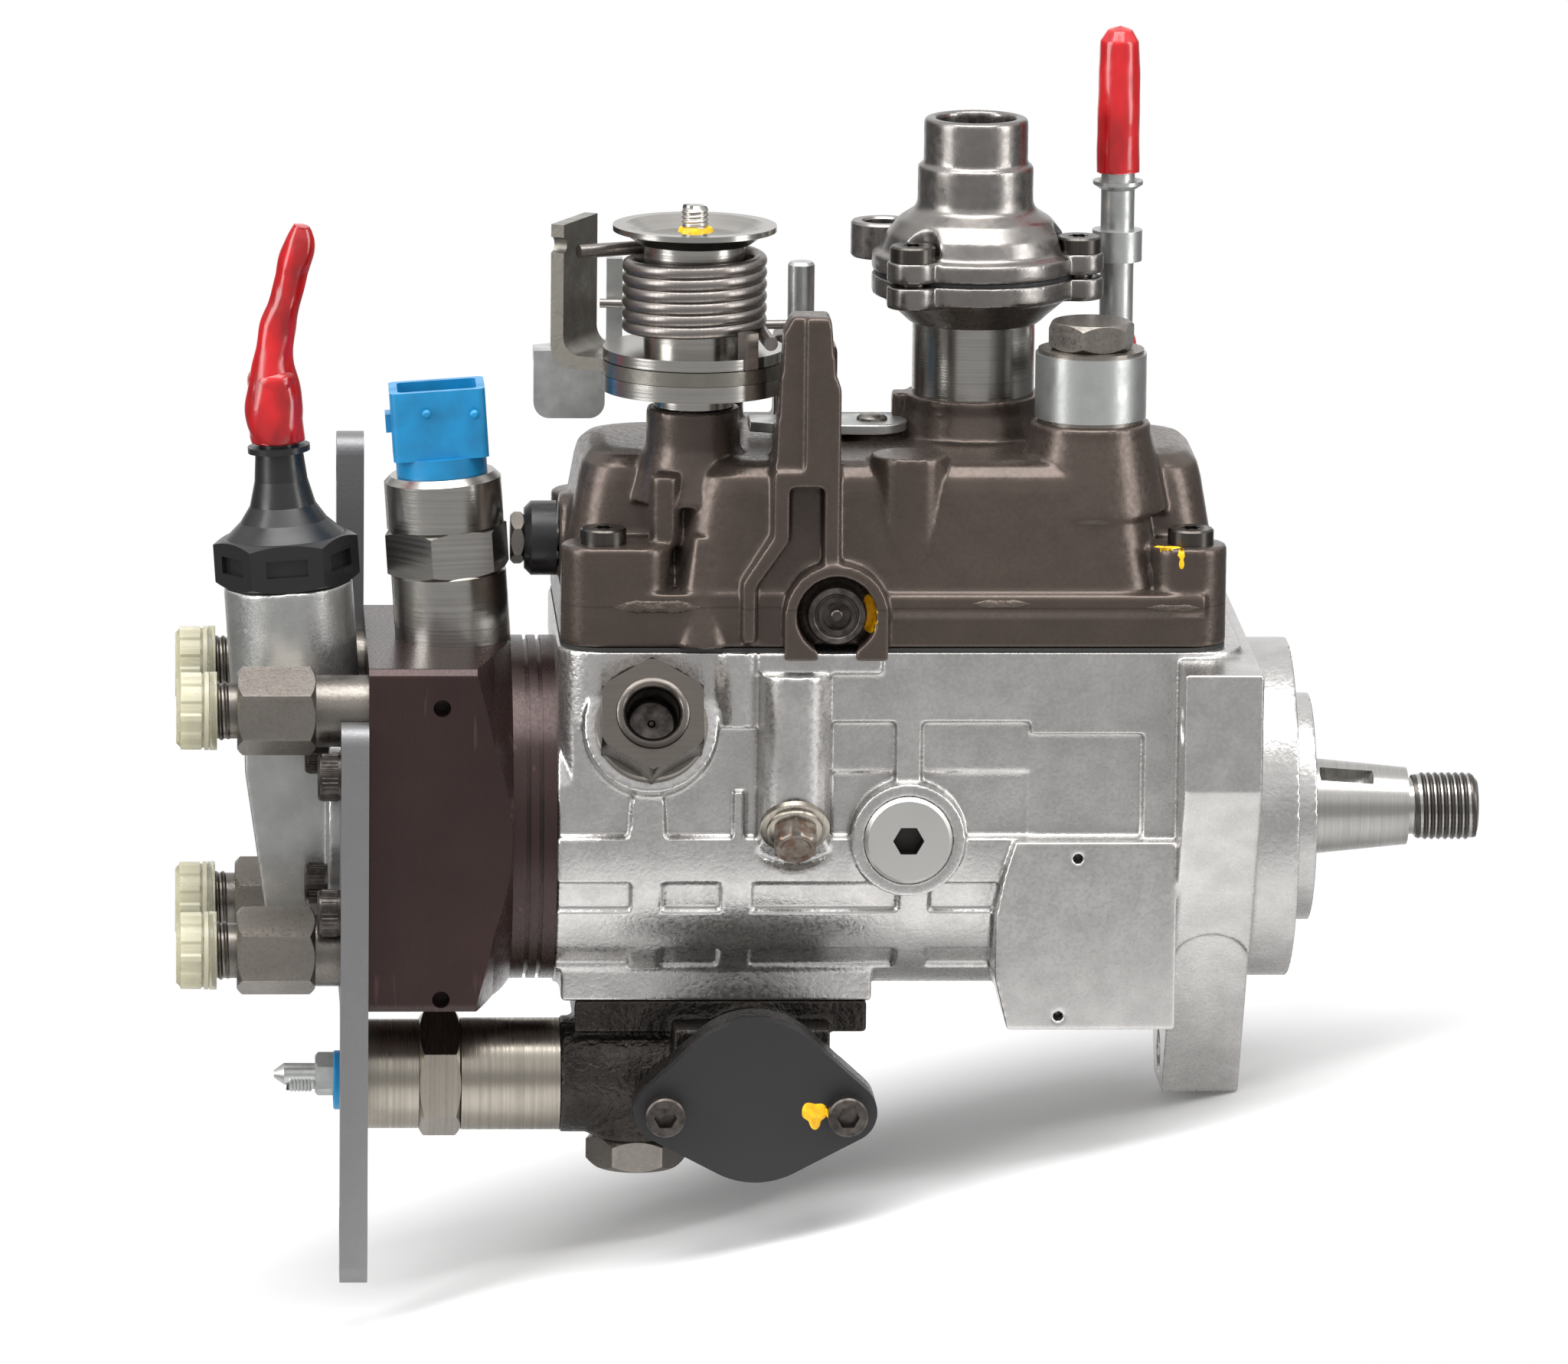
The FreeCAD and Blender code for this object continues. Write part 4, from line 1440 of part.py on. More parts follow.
def return_banjo():
    """The banjo ring with its welded return pipe and the short rear spigot."""
    low = BANJO_BOSS_TOP + WASHER_THICK
    top = low + BANJO_RING_LEN
    ring = bar_z(BANJO_RING_R, low, top, BANJO_X, BANJO_Y)
    pipe_z = (low + top) / 2
    corner = V(PIPE_X, PIPE_Y, pipe_z)
    pipe = rounded_pipe([V(BANJO_X + 2, BANJO_Y + BANJO_RING_R - 3, pipe_z), corner,
                         V(PIPE_X, PIPE_Y, PIPE_TOP + 14)], PIPE_R, PIPE_BEND_R)
    collar = turned([(118.8, 0), (118.8, PIPE_COLLAR_R), (125.6, PIPE_COLLAR_R), (125.6, 0)],
                    V(PIPE_X, PIPE_Y, 0), Z_AXIS)
    bead = turned([(PIPE_TOP - 2.0, 0), (PIPE_TOP - 2.0, PIPE_R), (PIPE_TOP - 0.8, PIPE_COLLAR_R),
                   (PIPE_TOP, PIPE_COLLAR_R), (PIPE_TOP + 0.4, PIPE_R), (PIPE_TOP + 0.4, 0)],
                  V(PIPE_X, PIPE_Y, 0), Z_AXIS)
    spigot = bar_y(PIPE_R - 0.7, PIPE_Y - PIPE_BEND_R, SPIGOT_PIPE_Y + 6, PIPE_X, pipe_z)
    body = ring.fuse([pipe, collar, bead, spigot])
    bore = bar_z(BANJO_BOLT_R + PUSH_FIT, low - 1, top + 1, BANJO_X, BANJO_Y)
    return tidy(body.cut(bore))


def banjo_bolt():
    """The hollow bolt with a sealing washer on each side of the banjo ring."""
    low = BANJO_BOSS_TOP + WASHER_THICK
    seat = low + BANJO_RING_LEN + WASHER_THICK
    shank = bar_z(BANJO_BOLT_R, BANJO_BOSS_TOP - 14, seat, BANJO_X, BANJO_Y)
    head = hexagon(BANJO_FLATS, V(BANJO_X, BANJO_Y, seat), BANJO_HEAD_LEN, Z_AXIS, 15, 1.2)
    washers = []
    for base in (BANJO_BOSS_TOP, low + BANJO_RING_LEN):
        washer = bar_z(BANJO_RING_R - 0.6, base, base + WASHER_THICK, BANJO_X, BANJO_Y)
        washers.append(washer.cut(bar_z(BANJO_BOLT_R + PUSH_FIT, base - 1, base + 2, BANJO_X, BANJO_Y)))
    return Part.Compound([head.fuse(shank)] + washers)


def pipe_caps():
    """The long vinyl cap on the return pipe and the short one on the rear spigot."""
    pipe_z = BANJO_BOSS_TOP + WASHER_THICK + BANJO_RING_LEN / 2
    tall = turned([(RED_CAP_BOTTOM, PIPE_R + PUSH_FIT), (RED_CAP_BOTTOM, RED_CAP_R),
                   (RED_CAP_TOP - 10.0, RED_CAP_R - 0.2), (RED_CAP_TOP - 3.6, RED_CAP_R - 0.5),
                   (RED_CAP_TOP - 0.9, RED_CAP_R - 2.2), (RED_CAP_TOP, 0),
                   (PIPE_TOP + 14.5, 0), (PIPE_TOP + 14.5, PIPE_R + PUSH_FIT)],
                  V(PIPE_X, PIPE_Y, 0), Z_AXIS)
    bore = PIPE_R - 0.7 + PUSH_FIT
    short = turned([(SPIGOT_PIPE_Y, bore), (SPIGOT_PIPE_Y, SPIGOT_CAP_R),
                    (SPIGOT_PIPE_Y + SPIGOT_CAP_LEN - 2, SPIGOT_CAP_R),
                    (SPIGOT_PIPE_Y + SPIGOT_CAP_LEN, SPIGOT_CAP_R - 2),
                    (SPIGOT_PIPE_Y + SPIGOT_CAP_LEN, 0), (SPIGOT_PIPE_Y + 6.4, 0),
                    (SPIGOT_PIPE_Y + 6.4, bore)], V(PIPE_X, 0, pipe_z), Y_AXIS)
    return Part.Compound([tall, short])


def pressure_port():
    """The hexagon fitting in the housing side, with a round blind socket."""
    seat = port_frame(PORT_HEX_LEN)
    inward = PORT_AXIS * -1
    shank = bar(PORT_SHANK_R, port_frame(0.5), port_frame(PORT_HEX_LEN + 10))
    nut = hexagon(PORT_FLATS, port_frame(0.0), PORT_HEX_LEN, inward, 0, 1.4)
    washer = bar(PORT_FLATS / 2 + 1.2, port_frame(PORT_HEX_LEN - 1.2), seat)
    socket = bar(PORT_SOCKET_R, port_frame(-1.0), port_frame(PORT_SOCKET_DEPTH))
    return tidy(nut.fuse([shank, washer]).cut(socket))


def lock_bolt():
    """The small flanged bolt that locks the drive shaft."""
    seat, axis = lock_seat(), lock_axis()
    flange_r = LOCK_FLATS * 0.68
    flange_part = bar(flange_r, seat, seat.add(axis * 1.2))
    shank = bar(2.5, seat.sub(axis * 8), seat)
    head = hexagon(LOCK_FLATS, seat.add(axis * 1.2), 4.4, axis, 0, 0.7)
    return head.fuse([flange_part, shank])


def timing_plug():
    """The round plug with a hexagon socket in the housing side."""
    plug = turned([(0, 0), (0, PLUG_R - 0.8), (0.8, PLUG_R), (3.0, PLUG_R), (3.0, 5.0), (9.0, 5.0),
                   (9.0, 0)], V(PLUG_X, PLUG_FACE_Y, PLUG_Z), Y_AXIS)
    key = hexagon(PLUG_SOCKET_R * math.sqrt(3), V(PLUG_X, PLUG_FACE_Y - 1, PLUG_Z), 6.0, Y_AXIS)
    return plug.cut(key)


def advance_housing():
    """The iron casting under the pump with the cross bore of the advance piston."""
    neck_right = CAM_X - ADVANCE_R
    far = ADVANCE_FAR_Y
    root_top = PAD_Z
    barrel = bar_y(ADVANCE_R + ADVANCE_WALL, ADVANCE_NEAR_Y + 4, far, CAM_X, ADVANCE_Z)
    saddle = block(-157.0, -93.0, -PAD_HALF, PAD_HALF, root_top - 7, root_top)
    web = block(CAM_X - 17, CAM_X + 17, -PAD_HALF - 10, PAD_HALF, ADVANCE_Z, root_top - 4)
    face = oval_plate(ADVANCE_NEAR_Y, ADVANCE_NEAR_Y + 9)
    neck = bar_x(ACTUATOR_R + 0.5, ACTUATOR_RIGHT, neck_right, ACTUATOR_Y, ACTUATOR_Z)
    seat = bar_z(UNDER_BOLT_FLATS / 2 + 1, ACTUATOR_Z - ACTUATOR_R - 1, ACTUATOR_Z,
                 UNDER_BOLT_X, ACTUATOR_Y)
    body = barrel.fuse([saddle, web, face, neck, seat])
    cuts = [bar_y(ADVANCE_R + RUN_FIT, ADVANCE_NEAR_Y - 1, far - 6, CAM_X, ADVANCE_Z),
            bar_y(8.0 + PUSH_FIT, far - 7, far + 1, CAM_X, ADVANCE_Z),
            block(CAM_X - STUD_CAM_R - 2, CAM_X + STUD_CAM_R + 2, -12.0, 12.0, ADVANCE_Z, root_top + 1),
            bar_x(8.0 + PUSH_FIT, ACTUATOR_RIGHT - 1, ACTUATOR_RIGHT + 8, ACTUATOR_Y, ACTUATOR_Z),
            bar_z(UNDER_BOLT_SHANK_R + PUSH_FIT, ACTUATOR_Z - ACTUATOR_R - 2,
                  ACTUATOR_Z - ACTUATOR_R + 6, UNDER_BOLT_X, ACTUATOR_Y)]
    cuts += [bar_y(CAP_SCREW_R + PUSH_FIT, ADVANCE_NEAR_Y - 1, ADVANCE_NEAR_Y + 10, x, z)
             for x, z in oval_spots()]
    return tidy(body.cut(cuts))


def oval_spots():
    return [(CAM_X + side * OVAL_EAR_X, ADVANCE_Z - 1.5) for side in (-1, 1)]


def oval_plate(y0, y1):
    straps = [strap((CAM_X, ADVANCE_Z + 1.0), OVAL_R, spot, OVAL_EAR_R, y0, y1)
              for spot in oval_spots()]
    return tidy(straps[0].fuse(straps[1]))


def advance_cover():
    """The flat oval cover over the near end of the advance bore."""
    plate = oval_plate(ADVANCE_NEAR_Y - OVAL_THICK, ADVANCE_NEAR_Y)
    return plate.cut([bar_y(CAP_SCREW_R + PUSH_FIT, ADVANCE_NEAR_Y - 9, ADVANCE_NEAR_Y + 1, x, z)
                      for x, z in oval_spots()])


def advance_cover_screws():
    face = ADVANCE_NEAR_Y - OVAL_THICK
    return Part.Compound([cap_screw(V(x, face, z), Y_AXIS, OVAL_THICK + 9) for x, z in oval_spots()])


def advance_end_plug():
    """The round spring plug in the far end of the advance bore."""
    far = ADVANCE_FAR_Y
    return turned([(far - 6, 0), (far - 6, 8.0), (far, 8.0), (far, ADVANCE_R + 1.5),
                   (far + 4.5, ADVANCE_R + 1.0), (far + 7.0, ADVANCE_R - 2.5), (far + 7.0, 0)],
                  V(CAM_X, 0, ADVANCE_Z), Y_AXIS)


def advance_piston():
    """The piston that turns the cam ring through its stud."""
    reach = ADVANCE_FAR_Y - 6 - CLEAR - ADVANCE_TRAVEL - ADVANCE_SPRING_LEN
    piston = bar_y(ADVANCE_R, ADVANCE_NEAR_Y + CLEAR, reach, CAM_X, ADVANCE_Z)
    slot = block(CAM_X - STUD_CAM_R - CLEAR, CAM_X + STUD_CAM_R + CLEAR, -STUD_CAM_R - 2,
                 STUD_CAM_R + 2, ADVANCE_Z - 5, ADVANCE_Z + ADVANCE_R + 1)
    pocket = bar_y(7.0, reach - 5, reach + 1, CAM_X, ADVANCE_Z)
    return piston.cut([slot, pocket])


def cold_start_actuator():
    """The turned actuator screwed into the neck of the advance housing."""
    left = ACTUATOR_LEFT + INSULATOR_LEN
    hex_left = ACTUATOR_HEX_LEFT
    hex_right = hex_left + ACTUATOR_HEX_LEN
    case = turned([(ACTUATOR_RIGHT + 7, 0), (ACTUATOR_RIGHT + 7, 8.0), (ACTUATOR_RIGHT, 8.0),
                   (ACTUATOR_RIGHT, ACTUATOR_R), (hex_right, ACTUATOR_R), (hex_right, ACTUATOR_R - 1),
                   (hex_left, ACTUATOR_R - 1), (hex_left, ACTUATOR_R - 0.3),
                   (-203.5, ACTUATOR_R - 0.3), (-203.5, INSULATOR_R - 0.4), (left, INSULATOR_R - 0.4),
                   (left, TERMINAL_R + PUSH_FIT), (left + 6, TERMINAL_R + PUSH_FIT), (left + 6, 0)],
                  V(0, ACTUATOR_Y, ACTUATOR_Z), X_AXIS)
    nut = hexagon(ACTUATOR_FLATS * 0.93, V(hex_left, ACTUATOR_Y, ACTUATOR_Z), ACTUATOR_HEX_LEN,
                  X_AXIS, 0, 1.2)
    nut = nut.cut(bar_x(ACTUATOR_R - 2, hex_left - 1, hex_right + 1, ACTUATOR_Y, ACTUATOR_Z))
    return case.fuse(nut)


def actuator_washer():
    """The blue insulating washer under the terminal nut."""
    left = ACTUATOR_LEFT
    return bar_x(INSULATOR_R, left, left + INSULATOR_LEN, ACTUATOR_Y, ACTUATOR_Z).cut(
        bar_x(TERMINAL_R + PUSH_FIT, left - 1, left + 9, ACTUATOR_Y, ACTUATOR_Z))


def actuator_terminal():
    """The terminal stud with its nut."""
    stud = turned([(TERMINAL_END, 0), (TERMINAL_END, 0.8), (TERMINAL_END + 2.2, TERMINAL_R),
                   (ACTUATOR_LEFT + INSULATOR_LEN + 5, TERMINAL_R),
                   (ACTUATOR_LEFT + INSULATOR_LEN + 5, 0)], V(0, ACTUATOR_Y, ACTUATOR_Z), X_AXIS)
    nut = hexagon(TERMINAL_FLATS, V(ACTUATOR_LEFT, ACTUATOR_Y, ACTUATOR_Z), TERMINAL_NUT_LEN,
                  V(-1, 0, 0), 0, 0.7)
    return stud.fuse(nut)


def under_bolt():
    """The capped hexagon bolt under the advance housing."""
    seat = V(UNDER_BOLT_X, ACTUATOR_Y, ACTUATOR_Z - ACTUATOR_R - 1)
    head = hexagon(UNDER_BOLT_FLATS, seat, UNDER_BOLT_LEN, V(0, 0, -1), 0, 1.4)
    shank = bar_z(UNDER_BOLT_SHANK_R, seat.z, seat.z + 6, UNDER_BOLT_X, ACTUATOR_Y)
    return head.fuse(shank)


def parts():
    """Every node by name."""
    liner, transfer_rotor = transfer_pump()
    return {
        "pump_housing": pump_housing(),
        "drive_bush": drive_bush(),
        "shaft_seals": shaft_seals(),
        "drive_shaft": drive_shaft(),
        "governor_cage": governor_cage(),
        "governor_weight_upper": governor_weight(1),
        "governor_weight_lower": governor_weight(-1),
        "governor_sleeve": governor_sleeve(),
        "governor_arm": governor_arm(),
        "governor_link": governor_link(),
        "metering_valve": metering_valve(),
        "hydraulic_head": hydraulic_head(),
        "head_sleeve": head_sleeve(),
        "pump_rotor": pump_rotor(),
        "plungers_and_rollers": pumping_pieces(),
        "cam_ring": cam_ring(),
        "transfer_liner": liner,
        "transfer_rotor": transfer_rotor,
        "delivery_valve_holders": delivery_valve_holders(),
        "outlet_caps": outlet_caps(),
        "end_bracket": end_bracket(),
        "pump_end_cover": pump_end_cover(),
        "head_screws": head_screws(),
        "inlet_plastic_cap": inlet_plastic_cap(),
        "inlet_hose_cap": inlet_hose_cap(),
        "solenoid_body": solenoid_body(),
        "solenoid_plunger": solenoid_plunger(),
        "solenoid_connector": solenoid_connector(),
        "solenoid_terminals": solenoid_terminals(),
        "governor_cover": governor_cover(),
        "cover_gasket": cover_gasket(),
        "torx_screws": cover_torx_screws(),
        "tamper_screw": tamper_screw(),
        "idle_sleeve": idle_sleeve(),
        "idle_screw": idle_screw(),
        "throttle_shaft": throttle_shaft(),
        "throttle_lever": throttle_lever(),
        "spring_dish": spring_dish(),
        "throttle_spring": throttle_spring(),
        "stop_lever": stop_lever(),
        "stop_spring": stop_spring(),
        "boost_stand": boost_stand(),
        "boost_lower_half": boost_lower_half(),
        "boost_diaphragm": boost_diaphragm(),
        "boost_upper_half": boost_upper_half(),
        "return_banjo": return_banjo(),
        "banjo_bolt": banjo_bolt(),
        "pipe_caps": pipe_caps(),
        "pressure_port": pressure_port(),
        "lock_bolt": lock_bolt(),
        "timing_plug": timing_plug(),
        "advance_housing": advance_housing(),
        "advance_cover": advance_cover(),
        "advance_cover_screws": advance_cover_screws(),
        "advance_end_plug": advance_end_plug(),
        "advance_piston": advance_piston(),
        "cold_start_actuator": cold_start_actuator(),
        "actuator_washer": actuator_washer(),
        "actuator_terminal": actuator_terminal(),
        "under_bolt": under_bolt(),
    }


os.makedirs("parts", exist_ok=True)
for name, shape in parts().items():
    shape.exportStep("parts/" + name + ".step")
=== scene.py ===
import json
import math
import bpy
from mathutils import Matrix, Vector
from mathutils.bvhtree import BVHTree


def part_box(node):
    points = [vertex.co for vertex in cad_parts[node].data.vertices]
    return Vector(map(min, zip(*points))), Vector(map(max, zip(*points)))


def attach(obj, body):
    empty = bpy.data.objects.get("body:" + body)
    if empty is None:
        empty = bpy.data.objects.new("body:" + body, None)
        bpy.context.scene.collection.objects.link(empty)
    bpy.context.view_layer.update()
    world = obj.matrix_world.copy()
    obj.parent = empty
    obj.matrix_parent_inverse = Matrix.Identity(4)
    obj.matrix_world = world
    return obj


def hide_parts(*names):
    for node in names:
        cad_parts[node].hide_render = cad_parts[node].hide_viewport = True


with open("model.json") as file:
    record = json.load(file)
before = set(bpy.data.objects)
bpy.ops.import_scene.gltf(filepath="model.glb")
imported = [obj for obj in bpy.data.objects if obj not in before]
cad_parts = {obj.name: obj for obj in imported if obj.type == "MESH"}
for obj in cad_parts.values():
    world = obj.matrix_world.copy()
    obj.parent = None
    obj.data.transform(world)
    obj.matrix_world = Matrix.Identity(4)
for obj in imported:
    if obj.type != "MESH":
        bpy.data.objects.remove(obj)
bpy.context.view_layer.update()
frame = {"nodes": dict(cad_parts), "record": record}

# Pump housing: a light alloy casting, bead blasted to a fine grain, with its nameplate flat, flange foot,
# ring and spot faces machined afterwards. The mould leaves small radii on every edge.


def linear(red, green, blue):
    """A colour read off a colour card, 0 to 255, as the light values that the shader needs."""
    shares = [value / 255 for value in (red, green, blue)]
    return tuple([s / 12.92 if s < 0.04 else ((s + 0.055) / 1.055) ** 2.4 for s in shares] + [1.0])


def shaded(colour, factor):
    """The same colour, lighter or darker."""
    return tuple([min(1.0, c * factor) for c in colour[:3]] + [1.0])


class Wire:
    """A value on its way through a finish, so that a recipe reads as plain arithmetic."""

    def __init__(self, recipe, socket):
        self.recipe = recipe
        self.socket = socket

    def maths(self, operation, first, second):
        return self.recipe.node("ShaderNodeMath", {"operation": operation}, {0: first, 1: second})

    def __add__(self, other):
        return self.maths("ADD", self, other)

    __radd__ = __add__

    def __sub__(self, other):
        return self.maths("SUBTRACT", self, other)

    def __rsub__(self, other):
        return self.maths("SUBTRACT", other, self)

    def __mul__(self, other):
        return self.maths("MULTIPLY", self, other)

    __rmul__ = __mul__


class Recipe:
    """A node tree, and the one method that adds to it."""

    # The colour sockets of a mix node, which share their names with its other sockets.
    SHARE, FIRST_COLOUR, SECOND_COLOUR, MIXED_COLOUR = 0, 6, 7, 2

    def __init__(self, tree):
        self.tree = tree

    def node(self, kind, settings, inputs, output=0):
        made = self.tree.nodes.new(kind)
        for name, value in settings.items():
            setattr(made, name, value)
        for name, value in inputs.items():
            self.feed(made.inputs[name], value)
        return Wire(self, made.outputs[output])

    def feed(self, socket, value):
        if isinstance(value, Wire):
            self.tree.links.new(value.socket, socket)
        else:
            socket.default_value = value

    def between(self, value, low, high, start=0.0, end=1.0):
        """value spread from low..high to start..end, and held there."""
        return self.node("ShaderNodeMapRange", {"clamp": True}, {"Value": value, "From Min": low,
                         "From Max": high, "To Min": start, "To Max": end})

    def mixed(self, share, first, second):
        """The colour that goes from first to second as share goes from 0 to 1."""
        return self.node("ShaderNodeMix", {"data_type": "RGBA"}, {self.SHARE: share, self.FIRST_COLOUR: first,
                         self.SECOND_COLOUR: second}, self.MIXED_COLOUR)


class Finish(Recipe):
    """A surface finish on the pump."""

    # Noise stays around 0.5: WIDE holds nearly all of it, and NARROW gives blotches with clearer borders.
    WIDE = (0.3, 0.7)
    NARROW = (0.35, 0.65)

    def __init__(self, name, colour, metallic, roughness):
        self.material = bpy.data.materials.new(name)
        self.material.use_nodes = True
        super().__init__(self.material.node_tree)
        self.shader = self.tree.nodes["Principled BSDF"]
        self.set("Base Color", colour)
        self.set("Metallic", metallic)
        self.set("Roughness", roughness)

    def set(self, name, value):
        self.feed(self.shader.inputs[name], value)

    def place(self):
        return self.node("ShaderNodeTexCoord", {}, {}, "Object")

    def noise(self, size, detail=2.0, stretch=(1, 1, 1)):
        """Cloudy variation whose blotches are about size millimetres, longer where stretch is larger."""
        scale = [1000 / (size * s) for s in stretch]
        mapped = self.node("ShaderNodeMapping", {}, {"Vector": self.place(), "Scale": scale})
        return self.node("ShaderNodeTexNoise", {}, {"Vector": mapped, "Scale": 1.0, "Detail": detail})

    def blotches(self, size, detail=2.0):
        """Noise as a share from 0 to 1."""
        return self.between(self.noise(size, detail), *self.NARROW)

    def gloss(self, pattern, low, high, levels=WIDE):
        """Roughness that goes from low to high with a pattern."""
        self.set("Roughness", self.between(pattern, *levels, low, high))

    def patch(self, spot, reach, soft):
        """1 within reach millimetres of spot, fading to 0 over soft millimetres."""
        offset = self.node("ShaderNodeVectorMath", {"operation": "DISTANCE"},
                           {0: self.place(), 1: [s / 1000 for s in spot]}, "Value")
        return self.between(offset, (reach + soft) / 1000, reach / 1000)

    def edges(self, low, high):
        """1 where the surface bends as much as high, 0 where as little as low; flat ground is 0.5."""
        bend = self.node("ShaderNodeNewGeometry", {}, {}, "Pointiness")
        return self.between(bend, low, high)

    def relief(self, height, depth):
        """Fine relief of depth millimetres."""
        self.set("Normal", self.node("ShaderNodeBump", {}, {"Height": height, "Distance": depth / 1000}))


def cast_finish(name, colour, metallic, roughness, grain, depth, corner=0.5, edge=0.4, spread=0.1, pits=0.0):
    """A casting: lightly mottled and grained, with painted highlights on its edges and painted shade in its
    corners.
    """
    pit_tone, corner_shade_tone, edge_highlight_tone = 0.6, 0.3, 1.6
    finish = Finish(name, colour, metallic, roughness)
    shade = finish.mixed(finish.blotches(7.0, 4.0), shaded(colour, 1 - spread), shaded(colour, 1 + spread))
    grains = finish.noise(grain, 3.0)
    shade = finish.mixed(finish.between(grains, 0.56, 0.72) * pits, shade, shaded(colour, pit_tone))
    # Painted shade: darker where the surface folds into a corner, as strong as corner says.
    shade = finish.mixed(finish.edges(0.49, 0.43) * corner, shade, shaded(colour, corner_shade_tone))
    # Painted highlight: brighter where the surface bends over an edge, as strong as edge says.
    shade = finish.mixed(finish.edges(0.51, 0.57) * edge, shade, shaded(colour, edge_highlight_tone))
    finish.set("Base Color", shade)
    # The colour with its painted shade and highlights, kept for finishes that build on it.
    finish.shade = shade
    finish.gloss(grains, roughness - 0.07, roughness + 0.1)
    finish.relief(grains, depth)
    return finish


def paint(thing, finish):
    """Gives a CAD node its finish."""
    thing.data.materials.clear()
    thing.data.materials.append(finish.material)


def moulded(node, voxel, passes):
    """Rounds the corners of a casting as its mould does, voxel in millimetres."""
    thing = frame["nodes"][node]
    skin = thing.modifiers.new("mould", "REMESH")
    skin.mode = "VOXEL"
    skin.voxel_size = voxel / 1000
    skin.use_smooth_shade = True
    radius = thing.modifiers.new("radius", "SMOOTH")
    radius.factor = 0.5
    radius.iterations = passes
    return thing


body_of = {node: body for body, nodes in frame["record"]["behaviour"]["bodies"].items() for node in nodes}


def fine_piece(name, points, faces, node, finish, sharp=35):
    """A small piece in millimetres that is fixed to a node; edges over sharp degrees stay crisp."""
    mesh = bpy.data.meshes.new(name)
    mesh.from_pydata([[c / 1000 for c in point] for point in points], [], faces)
    mesh.validate()
    mesh.polygons.foreach_set("use_smooth", [True] * len(mesh.polygons))
    mesh.set_sharp_from_angle(angle=math.radians(sharp))
    piece = bpy.data.objects.new(name, mesh)
    bpy.context.scene.collection.objects.link(piece)
    piece.data.materials.append(finish.material)
    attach(piece, body_of[node])
    return piece


def spun(name, outline, foot, axis, node, finish, ripple=None, steps=48, flats=None):
    """Turns an outline of (distance, radius) round axis from foot; ripple(turn, distance) adds to the radius,
    and flats cuts it to a hexagon of that width, corner up."""
    sixth = math.pi / 3
    axis = Vector(axis).normalized()
    upright = Vector((1, 0, 0)) if abs(axis.z) > 0.9 else Vector((0, 0, 1))
    side = (upright - axis * axis.dot(upright)).normalized()
    up = axis.cross(side)
    points, faces = [], []
    for along, radius in outline:
        for step in range(steps):
            turn = 2 * math.pi * step / steps
            reach = radius + (ripple(turn, along) if ripple and radius > 0 else 0)
            if flats:
                reach = min(reach, flats / 2 / math.cos(turn % sixth - sixth / 2))
            points.append(Vector(foot) + axis * along + (side * math.cos(turn) + up * math.sin(turn)) * reach)
    for ring in range(len(outline) - 1):
        for step in range(steps):
            after = (step + 1) % steps
            low, high = ring * steps, (ring + 1) * steps
            faces.append((low + step, low + after, high + after, high + step))
    return fine_piece(name, points, faces, node, finish)


# The blasted skin stops at the machined faces, which stand nearer than milled_from, in metres.
milled_from, milled_to = -0.0412, -0.0416
alloy_grain, alloy_depth, left_by_cutter = 0.9, 0.09, 0.15
alloy = cast_finish("blasted alloy", linear(192, 190, 188), metallic=0.92, roughness=0.27, grain=alloy_grain,
                    depth=alloy_depth, corner=0.75, edge=0.12, spread=0.08)
forward = alloy.node("ShaderNodeSeparateXYZ", {}, {"Vector": alloy.place()}, "Y")
milled = alloy.between(forward, milled_from, milled_to)
alloy.relief(alloy.noise(alloy_grain, 3.0) * (1 - milled * (1 - left_by_cutter)), alloy_depth)
paint(moulded("pump_housing", voxel=0.55, passes=2), alloy)

# Shafts, rings, weights and seals inside: steel and bronze turned on a lathe or stamped, ground where they
# run, and pressed or slid into the housing. Only the shaft's taper and its rolled thread show.


def turned_finish(name, colour, roughness, axis, metallic=1.0, contrast=0.4, pitch=0.6):
    """Metal turned on a lathe: fine rings round the axis, which is 0, 1 or 2."""
    finish = Finish(name, colour, metallic, roughness)
    stretch = [120.0, 120.0, 120.0]
    stretch[axis] = 1.0
    rings = finish.noise(pitch, 3.0, stretch)
    wear = finish.noise(6.0, 3.0)
    shade = finish.between(rings, *finish.WIDE) * contrast + finish.between(wear, *finish.NARROW) * 0.1
    finish.set("Base Color", finish.mixed(shade, colour, shaded(colour, 0.45)))
    finish.gloss(rings, roughness - 0.03, roughness + 0.06)
    finish.relief(rings, 0.03)
    return finish


def broken_edges(node, width=0.25, angle=35):
    """Takes the sharp edge off a machined piece, width in millimetres."""
    thing = frame["nodes"][node]
    flat = thing.modifiers.new("flat faces", "DECIMATE")
    flat.decimate_type = "DISSOLVE"
    flat.angle_limit = math.radians(1.0)
    bevel = thing.modifiers.new("edge", "BEVEL")
    bevel.width = width / 1000
    bevel.segments = 2
    bevel.limit_method = "ANGLE"
    bevel.angle_limit = math.radians(angle)
    bevel.harden_normals = True
    return thing


def thread(name, radius, pitch, start, length, foot, axis, node, finish):
    """A screw thread whose crests stand on a plain shank of that radius, from start along axis."""
    axis = Vector(axis).normalized()
    side = axis.orthogonal().normalized()
    up = axis.cross(side)
    points, faces = [], []
    steps = 32
    root, crest_share, crest_edge = -0.05, 0.32, 0.1
    total = int(length / pitch * steps)
    for step in range(total + 1):
        turn = 2 * math.pi * step / steps
        out = side * math.cos(turn) + up * math.sin(turn)
        fade = min(1.0, step / steps, (total - step) / steps)
        crest = crest_share * fade * pitch
        profile = ((-0.5, root), (-crest_edge, crest), (crest_edge, crest), (0.5, root))
        for shift, rise in profile:
            along = start + pitch * (step / steps + shift)
            points.append(Vector(foot) + axis * along + out * (radius + rise))
        if step:
            for edge in range(3):
                low = (step - 1) * 4 + edge
                faces.append((low, low + 1, low + 5, low + 4))
    return fine_piece(name, points, faces, node, finish)


